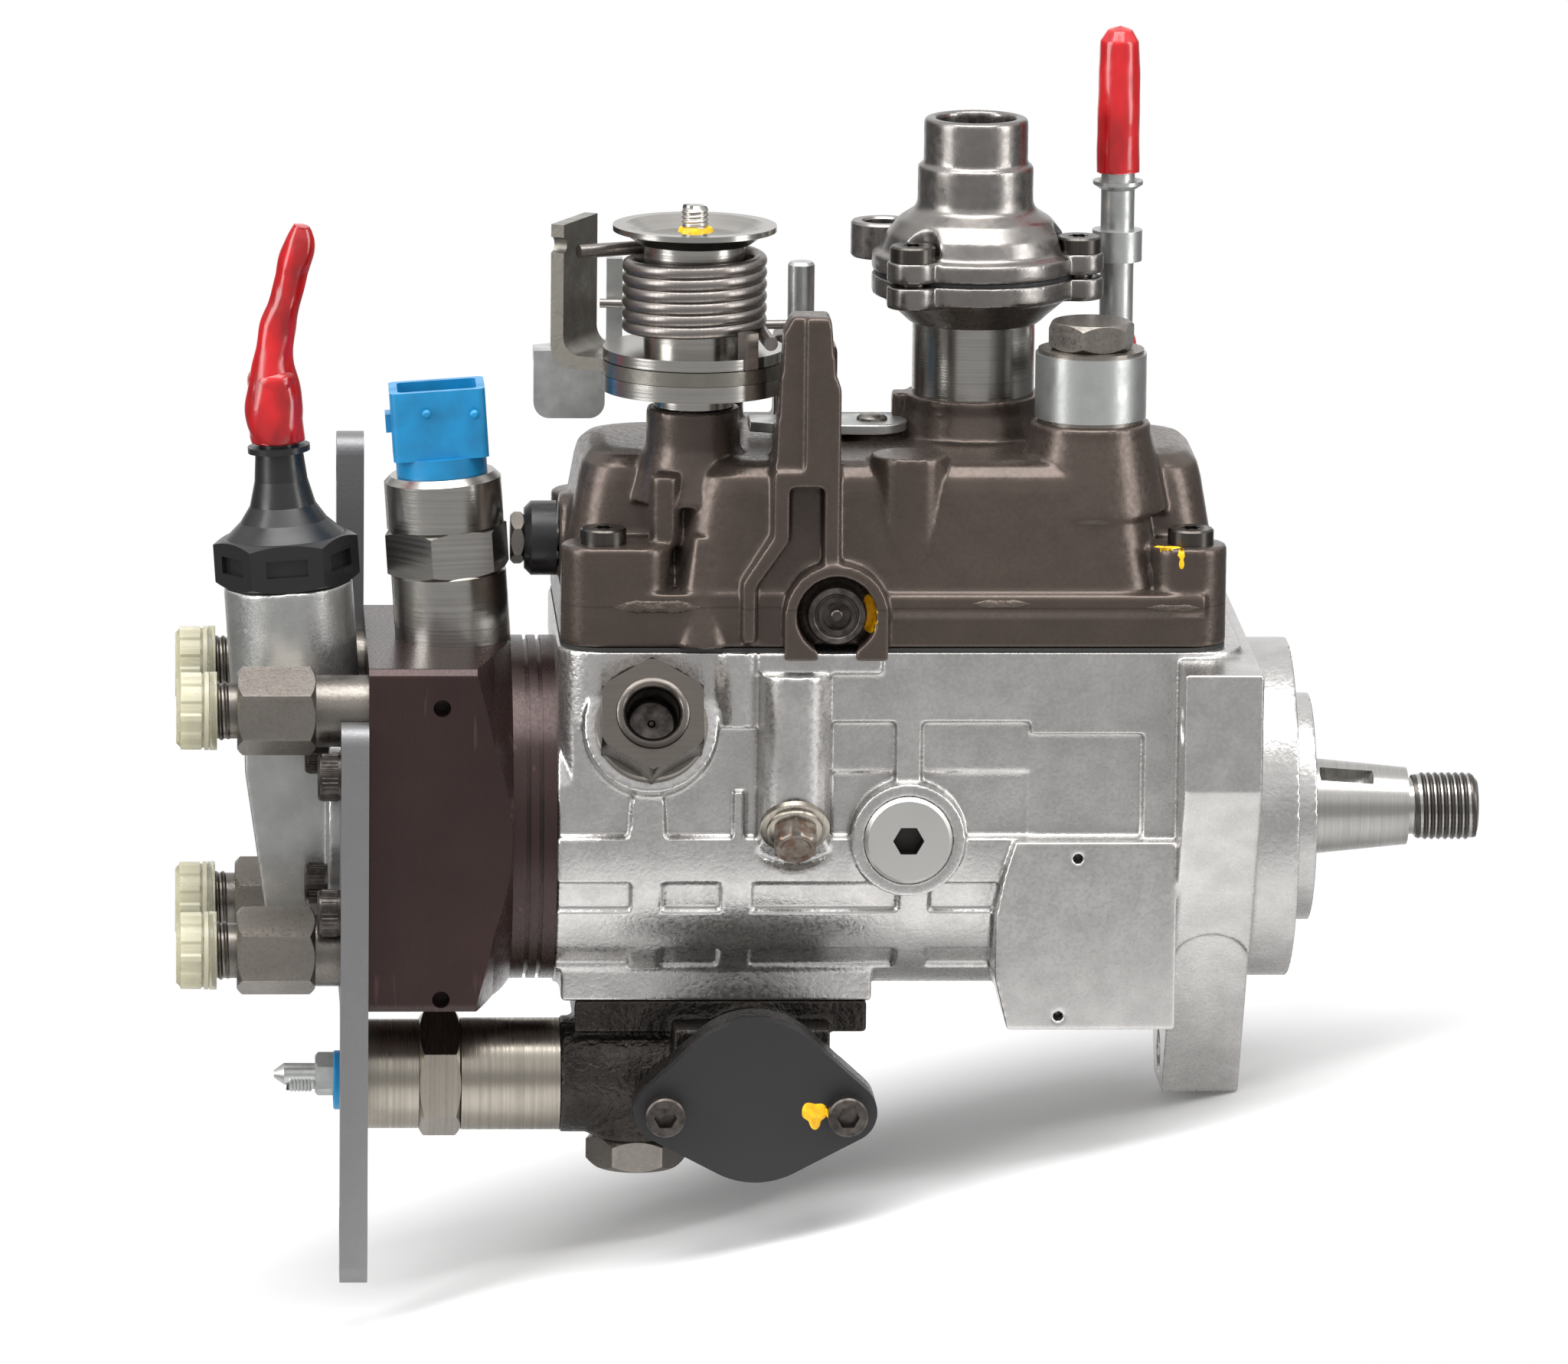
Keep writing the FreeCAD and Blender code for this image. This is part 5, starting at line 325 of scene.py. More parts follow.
rightward = (1, 0, 0)
bright_steel = turned_finish("turned steel", linear(186, 184, 180), roughness=0.24, axis=0)
grey_steel = cast_finish("grey steel", linear(122, 117, 111), metallic=0.92, roughness=0.32, grain=0.7,
                         depth=0.03, corner=0.5, edge=0.6, spread=0.08)
upright_steel = turned_finish("upright turned steel", linear(184, 181, 176), roughness=0.22, axis=2)
dark_steel = turned_finish("dark steel", linear(92, 88, 84), roughness=0.28, axis=0)
bronze = turned_finish("bronze", linear(190, 150, 100), roughness=0.35, axis=0)
rubber = Finish("seal rubber", linear(28, 28, 29), metallic=0.0, roughness=0.55)
rubber.gloss(rubber.noise(1.5), 0.45, 0.65)
for node in ("drive_shaft", "head_sleeve", "pump_rotor", "plungers_and_rollers", "cam_ring", "transfer_liner",
             "transfer_rotor", "governor_sleeve", "metering_valve", "advance_piston", "solenoid_plunger"):
    paint(broken_edges(node), bright_steel)
for node in ("governor_cage", "governor_weight_upper", "governor_weight_lower", "governor_arm",
             "governor_link"):
    paint(broken_edges(node), grey_steel)
paint(frame["nodes"]["drive_bush"], bronze)
paint(frame["nodes"]["shaft_seals"], rubber)
thread("shaft_thread", radius=6.9, pitch=1.5, start=28.6, length=13.2, foot=(0, 0, 0), axis=rightward,
       node="drive_shaft", finish=dark_steel)

# Hydraulic head: a forged steel block, milled and turned, then phosphated dark brown. Its milled lines run
# upright, and handling has left a few bright scratches.


def ground_finish(name, colour, roughness, along, metallic=0.7, scratch=0.0):
    """Milled and phosphated steel: lines in one direction and a few bright scratches."""
    line_stretch, scratch_stretch = 60.0, 8.0
    finish = Finish(name, colour, metallic, roughness)
    stretch = [1.0, 1.0, 1.0]
    stretch[along] = line_stretch
    lines = finish.noise(0.6, 3.0, stretch)
    cloud = finish.noise(14.0, 3.0)
    shade = finish.between(lines, *finish.NARROW) * 0.3 + finish.between(cloud, *finish.NARROW) * 0.3
    tone = finish.mixed(shade, shaded(colour, 1.15), shaded(colour, 0.6))
    stretch[along] = scratch_stretch
    cuts = finish.between(finish.noise(2.2, 1.0, stretch), 0.71, 0.76)
    finish.set("Base Color", finish.mixed(cuts * scratch, tone, shaded(colour, 3.5)))
    finish.gloss(lines, roughness - 0.06, roughness + 0.1)
    finish.relief(lines, 0.012)
    return finish


phosphate = ground_finish("brown phosphate", linear(58, 43, 41), roughness=0.26, along=2, metallic=0.5,
                          scratch=0.3)
paint(broken_edges("hydraulic_head", width=0.4), phosphate)

# Delivery valve holders: four hexagon steel fittings with threaded ends, each under a push-on milky cap with
# ribs for the fingers.
head_left = -202.4
holder_collar, holder_hexagon, holder_end = 11.4, 17.0, 11.5
outlet_thread_start = head_left - holder_collar - holder_hexagon - holder_end
cap_start = -244.0
outlet_spots = ((-26.0, -26.6), (-26.0, 26.6), (26.0, -26.6), (26.0, 26.6))
cap_rib_outline = [(0.9, 7.95), (1.0, 8.12), (5.4, 8.12), (5.5, 7.95)]
cap_rim_outline = [(6.0, 7.9), (6.1, 8.5), (7.0, 8.5), (7.1, 7.9)]
milky = Finish("milky plastic", linear(232, 234, 222), metallic=0.0, roughness=0.3)
milky.set("Transmission Weight", 0.75)
milky.set("IOR", 1.3)
haze = milky.blotches(5.0, 3.0)
milky.set("Base Color", milky.mixed(haze, linear(246, 243, 224), linear(236, 232, 198)))
milky.gloss(haze, 0.22, 0.42, (0.0, 1.0))
milky_ribs = Finish("milky rib", linear(240, 236, 210), metallic=0.0, roughness=0.35)
milky_ribs.set("Transmission Weight", 0.55)
milky_ribs.gloss(milky_ribs.noise(4.0), 0.28, 0.45)
paint(broken_edges("delivery_valve_holders", width=0.25), grey_steel)
paint(broken_edges("outlet_caps", width=0.2), milky)


def cap_ribs(turn, along):
    """Twelve finger ribs round a push-on cap, behind its rim."""
    rib, groove, rib_share = 0.35, -0.12, 0.55
    return rib if math.cos(12 * turn) > rib_share else groove


for number, (y, z) in enumerate(outlet_spots):
    thread(f"outlet_thread_{number}", radius=5.9, pitch=1.5, start=1.2, length=9.2,
           foot=(outlet_thread_start, y, z), axis=rightward, node="delivery_valve_holders",
           finish=dark_steel)
    spun(f"outlet_cap_ribs_{number}", cap_rib_outline, (cap_start, y, z), rightward,
         "outlet_caps", milky_ribs, ripple=cap_ribs, steps=96)
    spun(f"outlet_cap_rim_{number}", cap_rim_outline, (cap_start, y, z), rightward,
         "outlet_caps", milky_ribs)

# End bracket: a thick steel plate over the rear face, flame cut to shape and tumbled, so that its edges are
# round and its faces grey with a fine even grain. Four socket screws hold it.
plate_grey = cast_finish("tumbled plate", linear(112, 112, 113), metallic=0.7, roughness=0.44, grain=0.5,
                         depth=0.03, corner=0.4, edge=0.6, spread=0.06)
paint(broken_edges("end_bracket", width=0.6), plate_grey)

# End cover with the fuel inlet: an alloy casting held by black socket screws with knurled heads. The inlet is
# closed by a moulded black cap and a dipped red vinyl one.
inlet_alloy = cast_finish("inlet alloy", linear(182, 182, 180), metallic=0.85, roughness=0.34, grain=0.6,
                          depth=0.03, corner=0.5, edge=0.4, spread=0.1)
black_oxide = Finish("black oxide", linear(74, 69, 66), metallic=0.85, roughness=0.3)
soot = black_oxide.blotches(2.0, 3.0)
black_oxide.set("Base Color", black_oxide.mixed(soot, linear(88, 82, 78), linear(56, 52, 50)))
black_oxide.gloss(soot, 0.28, 0.42, (0.0, 1.0))


def moulded_plastic(name, colour, roughness):
    """A moulded plastic: a fine spark-eroded grain and slightly uneven gloss."""
    finish = Finish(name, colour, metallic=0.0, roughness=roughness)
    sheen = finish.blotches(6.0)
    finish.set("Base Color", finish.mixed(sheen, shaded(colour, 1.12), shaded(colour, 0.88)))
    finish.gloss(sheen, roughness - 0.05, roughness + 0.07, (0.0, 1.0))
    finish.relief(finish.noise(0.5), 0.015)
    return finish


def dipped_vinyl(name, colour):
    """A soft dipped cap, glossy, with the shallow creases left by drying and by fingers, and painted shade in
    the hollows of the creases.
    """
    finish = Finish(name, colour, metallic=0.0, roughness=0.24)
    crease = finish.noise(6.0, 2.0, (1, 1, 2.2))
    # Painted shade: the colour darkens to a little over half its value in the low parts of the creases.
    finish.set("Base Color", finish.mixed(finish.between(crease, 0.35, 0.6), shaded(colour, 0.55), colour))
    finish.gloss(crease, 0.16, 0.3)
    finish.set("Coat Weight", 0.5)
    finish.set("Subsurface Weight", 0.08)
    finish.set("Subsurface Scale", 0.002)
    finish.relief(crease, 0.7)
    return finish


def creased(node, depth):
    """Dents a dipped cap inwards where it shrank and was handled, by up to depth millimetres."""
    dents = bpy.data.textures.new(f"dents_{node}", "CLOUDS")
    dents.noise_scale = 0.013
    dents.noise_depth = 1
    skin = frame["nodes"][node].modifiers.new("dents", "DISPLACE")
    skin.texture = dents
    skin.texture_coords = "GLOBAL"
    skin.strength = depth / 1000
    skin.mid_level = 1.0


black_plastic = moulded_plastic("black plastic", linear(30, 30, 32), roughness=0.3)
red_vinyl = dipped_vinyl("red vinyl", linear(196, 18, 26))
paint(moulded("pump_end_cover", voxel=0.45, passes=3), inlet_alloy)
paint(broken_edges("head_screws", width=0.15), black_oxide)
paint(broken_edges("inlet_plastic_cap", width=0.5), black_plastic)
paint(moulded("inlet_hose_cap", voxel=0.6, passes=4), red_vinyl)
creased("inlet_hose_cap", depth=2.4)


def knurl(turn, along):
    """The fine straight knurl round a socket screw's head."""
    teeth, tooth, gap = 32, 0.14, -0.1
    return tooth if int(turn / (2 * math.pi) * 2 * teeth) % 2 else gap


leftward = (-1, 0, 0)
end_screw_seat, end_screw_head = head_left - 8.5, 4.35
bracket_screw_seat, bracket_screw_head = head_left - 6.0, 5.0
end_screws = [(end_screw_seat, y, z, end_screw_head) for y in (-12.5, 12.5) for z in (-14.5, 14.5)]
bracket_screws = [(bracket_screw_seat, y, z, bracket_screw_head)
                  for y in (-34.0, 34.0) for z in (13.5, -16.5)]
for number, (x, y, z, head) in enumerate(end_screws + bracket_screws):
    knurl_outline = [(0.6, head - 0.2), (0.7, head + 0.05), (4.1, head + 0.05), (4.2, head - 0.2)]
    spun(f"screw_knurl_{number}", knurl_outline, (x, y, z), leftward,
         "head_screws", black_oxide, ripple=knurl, steps=128)

# Stop solenoid: a turned steel case with a hexagon, screwed into the head, and a blue moulded two-pin socket
# with two small pips on its near side. The blades are tinned brass.
nearward = (0, -1, 0)
blue_plastic = moulded_plastic("blue plastic", linear(24, 134, 188), roughness=0.34)
blue_plastic.set("Subsurface Weight", 0.05)
blue_plastic.set("Subsurface Scale", 0.001)
tinned = turned_finish("tinned brass", linear(190, 185, 160), roughness=0.3, axis=2)
paint(broken_edges("solenoid_body", width=0.3), upright_steel)
paint(broken_edges("solenoid_connector", width=0.4), blue_plastic)
paint(frame["nodes"]["solenoid_terminals"], tinned)
socket_near = (Vector(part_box("solenoid_connector")[0]) * 1000).y
pip_outline = [(-0.6, 1.1), (0.1, 1.0), (0.5, 0.6), (0.6, 0.0)]
pip_inset, pip_height = 0.5, 88.9
for number, x in enumerate((-189.6, -179.2)):
    spun(f"connector_pip_{number}", pip_outline, (x, socket_near + pip_inset, pip_height), nearward,
         "solenoid_connector", blue_plastic, steps=20)

# Governor cover: an alloy casting dipped in a warm brown-grey coating. Its near wall keeps the broken stubs
# of the casting gates, and the assembler's yellow paint marks the screws that were checked.
cover_brown = linear(84, 74, 68)
seam_height, seam_reach, seam_core = 0.0519, 0.0003, 0.0001
brown_coat = cast_finish("brown coating", cover_brown, metallic=0.6, roughness=0.28, grain=1.1, depth=0.03,
                         corner=0.7, edge=0.5, spread=0.06)
gate_metal = cast_finish("broken gate", linear(92, 82, 75), metallic=0.6, roughness=0.4, grain=1.2, depth=0.6,
                         corner=0.6, edge=0.6, spread=0.3, pits=0.5)
yellow_paint = Finish("marking paint", linear(250, 196, 0), metallic=0.0, roughness=0.4)
brushed_on = yellow_paint.between(yellow_paint.noise(1.6, 3.0), 0.3, 0.6)
yellow_paint.set("Base Color", yellow_paint.mixed(brushed_on, linear(226, 160, 0), linear(252, 202, 6)))
yellow_paint.relief(yellow_paint.noise(1.2), 0.15)
gasket = Finish("gasket", linear(45, 45, 45), metallic=0.0, roughness=0.6)
gasket.gloss(gasket.noise(1.0), 0.5, 0.7)
height = brown_coat.node("ShaderNodeSeparateXYZ", {}, {"Vector": brown_coat.place()}, "Z")
off_seam = brown_coat.node("ShaderNodeMath", {"operation": "ABSOLUTE"}, {0: height - seam_height})
seam = brown_coat.between(off_seam, seam_reach, seam_core)
brown_coat.set("Base Color", brown_coat.mixed(seam * 0.5, brown_coat.shade, shaded(cover_brown, 0.4)))
paint(moulded("governor_cover", voxel=0.6, passes=9), brown_coat)
paint(frame["nodes"]["cover_gasket"], gasket)
paint(broken_edges("torx_screws", width=1.1), dark_steel)
paint(broken_edges("idle_sleeve", width=0.2), black_plastic)
paint(broken_edges("idle_screw", width=0.2), grey_steel)


def surface_of(nodes):
    """The finished skins of some nodes, for laying paint on."""
    bpy.context.view_layer.update()
    depsgraph = bpy.context.evaluated_depsgraph_get()
    return [BVHTree.FromObject(frame["nodes"][node], depsgraph) for node in nodes]


def daub(name, centre, across, up, reaches, node, nodes, finish, thick=0.22):
    """A dab laid on what lies behind centre; reaches are its half widths in millimetres, once round."""
    steps, rings = 40, 7
    lift, sight = 6, 14
    film, tucked_rim = 0.02, -0.05
    across, up = Vector(across).normalized(), Vector(up).normalized()
    out = across.cross(up).normalized()
    skins = surface_of(nodes)
    points, faces = [], []
    for ring in range(rings + 1):
        for step in range(steps):
            turn = 2 * math.pi * step / steps
            place = step / steps * len(reaches)
            share = place - int(place)
            share = share * share * (3 - 2 * share)
            reach = reaches[int(place)] * (1 - share) + reaches[(int(place) + 1) % len(reaches)] * share
            radius = reach * ring / rings
            spot = Vector(centre) + across * math.cos(turn) * radius + up * math.sin(turn) * radius
            hits = [skin.ray_cast((spot + out * lift) / 1000, -out, sight / 1000) for skin in skins]
            found = [hit[0] for hit in hits if hit[0]]
            ground = max(found, key=lambda hit: hit.dot(out)) * 1000 if found else spot
            rise = thick * math.sqrt(max(0.0, 1 - (ring / rings) ** 2)) + film
            points.append(ground + out * (rise if ring < rings else tucked_rim))
    for ring in range(rings):
        for step in range(steps):
            after = (step + 1) % steps
            faces.append((ring * steps + step, ring * steps + after, (ring + 1) * steps + after,
                          (ring + 1) * steps + step))
    return fine_piece(name, points, faces, node, finish, sharp=80)


upward = (0, 0, 1)


def stub_outline(half, tall):
    """The long oval where a casting gate was broken off."""
    power = 4
    turns = [math.radians(15 * step) for step in range(24)]
    return [((math.cos(turn) / half) ** power + (math.sin(turn) / tall) ** power) ** (-1 / power)
            for turn in turns]


for name, centre, half, tall in (("gate_stub_left", (-140.5, -38.5, 52.0), 9.8, 1.3),
                                 ("gate_stub_middle", (-65.9, -39.5, 52.9), 6.5, 0.8),
                                 ("gate_stub_right", (-28.6, -39.5, 52.0), 6.0, 0.7)):
    daub(name, centre, rightward, upward, stub_outline(half, tall), "governor_cover", ["governor_cover"],
         gate_metal, thick=0.45)
screw_dab = [2.8, 1.5, 1.2, 1.6, 3.2, 1.4, 1.6, 1.3]
drip = [0.5, 0.9, 2.2, 1.2, 0.5, 0.5, 2.6, 0.5]
daub("paint_on_cover_screw", (-29.6, -36.2, 64.9), rightward, (0, 1, 0), screw_dab,
     "governor_cover", ["governor_cover", "torx_screws"], yellow_paint)
daub("paint_drip", (-26.9, -38.5, 62.8), rightward, upward, drip,
     "governor_cover", ["governor_cover"], yellow_paint)


def lobed_plate(name, place, node):
    """The face of a pan head screw round its six-lobed socket."""
    steps = 72
    socket, lobe, rim = 1.85, 0.38, 2.75
    points, faces = [], []
    for step in range(steps):
        turn = 2 * math.pi * step / steps
        for radius in (socket + lobe * math.cos(6 * turn), rim):
            points.append((place[0] + radius * math.cos(turn), place[1] + radius * math.sin(turn), place[2]))
    for step in range(steps):
        after = (step + 1) % steps
        faces.append((2 * step, 2 * step + 1, 2 * after + 1, 2 * after))
    return fine_piece(name, points, faces, node, black_oxide)


cover_pad, pan_head, plate_gap = 64.7, 3.4, 0.03
for number, (x, y) in enumerate(((-151.8, -31.0), (-151.8, 34.5), (-24.4, -31.0), (-24.4, 34.5))):
    lobed_plate(f"cover_screw_face_{number}", (x, y, cover_pad + pan_head + plate_gap), "torx_screws")

# Sealed fuel screw: a black domed screw with a pin in its six-lobed socket, deep in the cover's near boss,
# with yellow paint run down one side so that tampering shows.
tamper_spot = (-101.6, -40.0, 50.5)
dome_outline = [(-0.4, 6.5), (0.3, 6.5), (0.9, 6.1), (1.25, 5.0), (0.95, 4.6), (0.95, 4.3),
                (1.4, 4.1), (1.5, 3.5), (1.4, 3.2), (-0.6, 3.1), (-0.6, 0.0)]
pin_outline = [(-0.6, 1.3), (0.9, 1.3), (1.15, 1.0), (1.15, 0.0)]
paint(broken_edges("tamper_screw", width=0.2), black_oxide)
spun("tamper_dome", dome_outline, tamper_spot, nearward, "tamper_screw", black_oxide, steps=72)
spun("tamper_pin", pin_outline, tamper_spot, nearward, "tamper_screw", black_oxide, steps=24)
tamper_dab = [1.3, 2.2, 4.0, 2.2, 1.2, 2.0, 4.4, 2.2]
daub("paint_in_tamper_boss", (-94.4, -41.0, 50.4), rightward, upward, tamper_dab,
     "governor_cover", ["governor_cover", "tamper_screw"], yellow_paint, thick=0.3)

# Cable plate: a flat strip of zinc-plated steel riveted to the cover's top behind the lug, where an engine
# maker's bracket lands.


def plated(name, colour, roughness):
    """Zinc plate, passivated: pale, faintly cloudy and satin."""
    finish = Finish(name, colour, metallic=0.92, roughness=roughness)
    cloud = finish.blotches(5.0, 4.0)
    finish.set("Base Color", finish.mixed(cloud, shaded(colour, 1.08), shaded(colour, 0.8)))
    finish.gloss(cloud, roughness - 0.06, roughness + 0.1, (0.0, 1.0))
    finish.relief(finish.noise(0.8, 3.0), 0.02)
    return finish


def flat_strip(name, outline, low, high, node, finish):
    """A flat piece cut to outline, between two heights, with its edges broken."""
    count = len(outline)
    points = [(x, y, low) for x, y in outline] + [(x, y, high) for x, y in outline]
    faces = [tuple(reversed(range(count))), tuple(range(count, 2 * count))]
    for step in range(count):
        after = (step + 1) % count
        faces.append((step, after, count + after, count + step))
    piece = fine_piece(name, points, faces, node, finish)
    bevel = piece.modifiers.new("edge", "BEVEL")
    bevel.width = 0.0003
    bevel.segments = 2
    bevel.limit_method = "ANGLE"
    return piece


zinc = plated("zinc plate", linear(196, 198, 196), roughness=0.34)
plate_low, plate_high = 84.0, 86.2
rivet_x, rivet_y, plate_end_r = -92.0, 1.0, 7.7
plate_end = [(rivet_x + plate_end_r * math.cos(turn), rivet_y + plate_end_r * math.sin(turn))
             for turn in [math.radians(-90 + 15 * step) for step in range(13)]]
plate_outline = [(-119.0, -2.5), (-112.0, -5.0), (-104.0, -6.0)] + plate_end + [(-104.0, 8.0), (-119.0, 6.0)]
rivet_outline = [(0, 3.4), (0.5, 3.3), (1.1, 2.6), (1.4, 1.4), (1.5, 0)]
flat_strip("cable_plate", plate_outline, plate_low, plate_high, "governor_cover", zinc)
spun("cable_plate_rivet", rivet_outline, (rivet_x, rivet_y, plate_high), upward,
     "governor_cover", grey_steel)

# Throttle lever: zinc-plated pressed steel on a ground shaft, under a coil of dark spring steel, a turned
# dish and a threaded stud whose nut was marked with yellow paint.
shaft_x, shaft_y = -132.0, -18.0
stud_thread_foot, stud_paint_foot = 131.4, 131.2
stud_paint_outline = [(-0.6, 3.6), (0.0, 3.5), (0.5, 3.2), (0.7, 2.5)]
spring_wire = ground_finish("spring wire", linear(138, 132, 128), roughness=0.3, along=2, metallic=0.92)
# The lever's zinc is a darker copy of the plate's zinc: painted shade for its dark inner face.
shaded_lever_zinc = plated("lever zinc with painted shade", linear(142, 138, 130), roughness=0.3)
paint(broken_edges("throttle_shaft", width=0.25), upright_steel)
paint(broken_edges("throttle_lever", width=0.4), shaded_lever_zinc)
paint(broken_edges("spring_dish", width=0.3), upright_steel)
paint(frame["nodes"]["throttle_spring"], spring_wire)
thread("throttle_stud_thread", radius=2.65, pitch=1.0, start=0.3, length=4.6,
       foot=(shaft_x, shaft_y, stud_thread_foot), axis=upward, node="throttle_shaft",
       finish=upright_steel)


def brushed_rim(turn, along):
    """The uneven edge of paint brushed round a nut."""
    return 0.35 * math.sin(3 * turn + 1) + 0.2 * math.sin(7 * turn)


spun("paint_on_stud", stud_paint_outline, (shaft_x, shaft_y, stud_paint_foot), upward,
     "throttle_shaft", yellow_paint, ripple=brushed_rim)

# Stop lever: zinc-plated pressed steel with a bent tab, clamped on its own shaft and turned back by a thin
# wire spring whose long end leans on a sleeved pin.
spring_pin_foot = (-106.5, 25.0, 101.6)
spring_pin_outline = [(0, 2.95), (14.9, 2.95), (15.5, 2.5), (15.5, 0)]
paint(broken_edges("stop_lever", width=0.5), zinc)
paint(frame["nodes"]["stop_spring"], spring_wire)
spun("stop_spring_pin", spring_pin_outline, spring_pin_foot, upward,
     "governor_cover", zinc, steps=24)

# Boost control: two pressure die castings clamped on a rubber diaphragm by three pan head screws, on a turned
# steel stand. A lug for a bracket stands out behind the upper one.
die_cast = cast_finish("die casting", linear(134, 130, 127), metallic=0.94, roughness=0.27, grain=2.0,
                       depth=0.02, corner=0.25, edge=0.05, spread=0.06)
paint(broken_edges("boost_stand", width=0.3), upright_steel)
paint(moulded("boost_lower_half", voxel=0.45, passes=8), die_cast)
paint(frame["nodes"]["boost_diaphragm"], rubber)
paint(moulded("boost_upper_half", voxel=0.45, passes=8), die_cast)
diaphragm_height, clamp_flange = 118.0, 5.0
boost_screw_top = diaphragm_height + clamp_flange + pan_head + plate_gap
for number, (x, y) in enumerate(((-47.05, 4.04), (-77.3, 29.42), (-84.16, -9.47))):
    lobed_plate(f"boost_screw_face_{number}", (x, y, boost_screw_top), "torx_screws")
lug_foot = (-88.5, 25.0, 118.5)
lug_outline = [(0, 4.4), (0, 6.8), (0.5, 7.2), (7.4, 7.2), (7.9, 6.8), (7.9, 4.9), (7.4, 4.5), (0, 4.4)]
web_low, web_high = 119.2, 125.2
web_outline = [(-86.0, 18.6), (-76.0, 10.0), (-70.0, 22.0), (-83.0, 30.2)]
spun("boost_rear_lug", lug_outline, lug_foot, upward, "boost_upper_half", die_cast)
flat_strip("boost_rear_web", web_outline, web_low, web_high, "boost_upper_half", die_cast)

# Fuel return: a banjo turned and bent from tube and zinc plated, held by a hexagon bolt. Its pipe ends are
# closed by dipped red vinyl caps.
paint(broken_edges("return_banjo", width=0.25), zinc)
paint(broken_edges("banjo_bolt", width=0.4), grey_steel)
paint(moulded("pipe_caps", voxel=0.5, passes=3), red_vinyl)
creased("pipe_caps", depth=0.7)

# Pressure port: a hexagon steel fitting screwed up at an angle into its boss, with a turned collar and a
# blind socket whose floor shows the drill's centre.
case_steel = turned_finish("plated case", linear(170, 163, 152), roughness=0.27, axis=0)
turned_collar = turned_finish("turned collar", linear(106, 100, 95), roughness=0.26, axis=1)
port_rise = math.radians(27)
port_foot = (-141.5, -40.44, 26.2)
port_axis = (0, -math.cos(port_rise), math.sin(port_rise))
port_flats = 22.0
port_hexagon_outline = [(-4.0, 12.6), (9.9, 12.7), (10.3, 12.2), (10.3, 8.0), (10.9, 7.8), (11.2, 7.3),
                        (11.2, 6.6), (10.8, 6.1), (9.8, 5.6), (9.0, 5.55)]
port_socket_outline = [(10.0, 5.62), (2.2, 5.5), (2.6, 4.9), (1.8, 4.7), (1.6, 0.9), (2.1, 0.5), (2.2, 0.0)]
port_washer_outline = [(-4.5, 12.3), (0.6, 12.3), (1.0, 11.9), (1.0, 8.0)]
port_hexagon = spun("port_hexagon", port_hexagon_outline, port_foot, port_axis,
                    "pressure_port", turned_collar, steps=72, flats=port_flats)
# Painted shade: the inside of the socket takes the darker black oxide instead of the collar's steel.
port_socket = spun("port_socket", port_socket_outline, port_foot, port_axis,
                   "pressure_port", black_oxide)
port_washer = spun("port_washer", port_washer_outline, port_foot, port_axis,
                   "pressure_port", grey_steel)
for piece in (port_socket, port_hexagon, port_washer):
    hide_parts("pressure_port")

# Lock bolt: a zinc-plated hexagon screw with a washer on a milled spot face, pointing down and out of its
# boss. Its end has begun to rust.
bolt_zinc = linear(128, 122, 115)
rusty_zinc = plated("rusty zinc", bolt_zinc, roughness=0.3)
rust = rusty_zinc.between(rusty_zinc.noise(2.6, 4.0), 0.42, 0.62)
rusty_zinc.set("Base Color", rusty_zinc.mixed(rust, bolt_zinc, linear(102, 84, 72)))
bolt_dip = math.radians(35)
bolt_foot = (-110.3, -42.5, 4.0)
bolt_axis = (0, -math.cos(bolt_dip), -math.sin(bolt_dip))
bolt_flats = 9.0
bolt_hexagon_outline = [(0.9, 5.3), (5.6, 5.3), (6.2, 4.3), (6.2, 3.4), (5.9, 3.0), (5.9, 0.0)]
bolt_washer_outline = [(-1.0, 7.6), (0.25, 7.6), (0.4, 7.3), (0.4, 6.2), (1.0, 6.0), (1.3, 5.5), (1.3, 3.0)]
bolt_hexagon = spun("bolt_hexagon", bolt_hexagon_outline, bolt_foot, bolt_axis,
                    "lock_bolt", rusty_zinc, steps=72, flats=bolt_flats)
bolt_washer = spun("bolt_washer", bolt_washer_outline, bolt_foot, bolt_axis,
                   "lock_bolt", case_steel)
for piece in (bolt_hexagon, bolt_washer):
    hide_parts("lock_bolt")

# Timing plug: a turned alloy plug screwed into its boss with a hexagon key. The floor of its socket lies in
# shadow.
plug_centre, socket_shade = (-85.5, -38.0, 1.0), 4.6
plug_face = turned_finish("plug face", linear(206, 205, 202), roughness=0.34, axis=1, metallic=0.95,
                          contrast=0.2, pitch=0.4)
in_socket = plug_face.patch(plug_centre, socket_shade, 0.3)
plug_face.set("Base Color", plug_face.mixed(in_socket, linear(204, 203, 200), linear(64, 62, 60)))
paint(broken_edges("timing_plug", width=0.3), plug_face)

# Advance unit: a rough black iron casting with an oval steel plate on two socket screws, the right one marked
# with yellow paint.
rough_iron = cast_finish("rough black iron", linear(52, 48, 45), metallic=0.75, roughness=0.3, grain=1.3,
                         depth=0.6, corner=0.5, edge=0.9, spread=0.3, pits=0.4)
flat_black = cast_finish("flat black plate", linear(20, 19, 21), metallic=0.0, roughness=0.5, grain=0.4,
                         depth=0.01, corner=0.2, edge=0.8, spread=0.05)
paint(moulded("advance_housing", voxel=0.55, passes=4), rough_iron)
paint(broken_edges("advance_cover", width=0.4), flat_black)
paint(broken_edges("advance_cover_screws", width=0.25), black_oxide)
paint(moulded("advance_end_plug", voxel=0.6, passes=3), rough_iron)
advance_dab = [2.6, 3.0, 2.4, 3.4, 3.0, 2.2, 3.6, 2.0]
daub("paint_on_advance_screw", (-105.6, -50.0, -57.8), rightward, upward, advance_dab,
     "advance_cover", ["advance_cover", "advance_cover_screws"], yellow_paint)

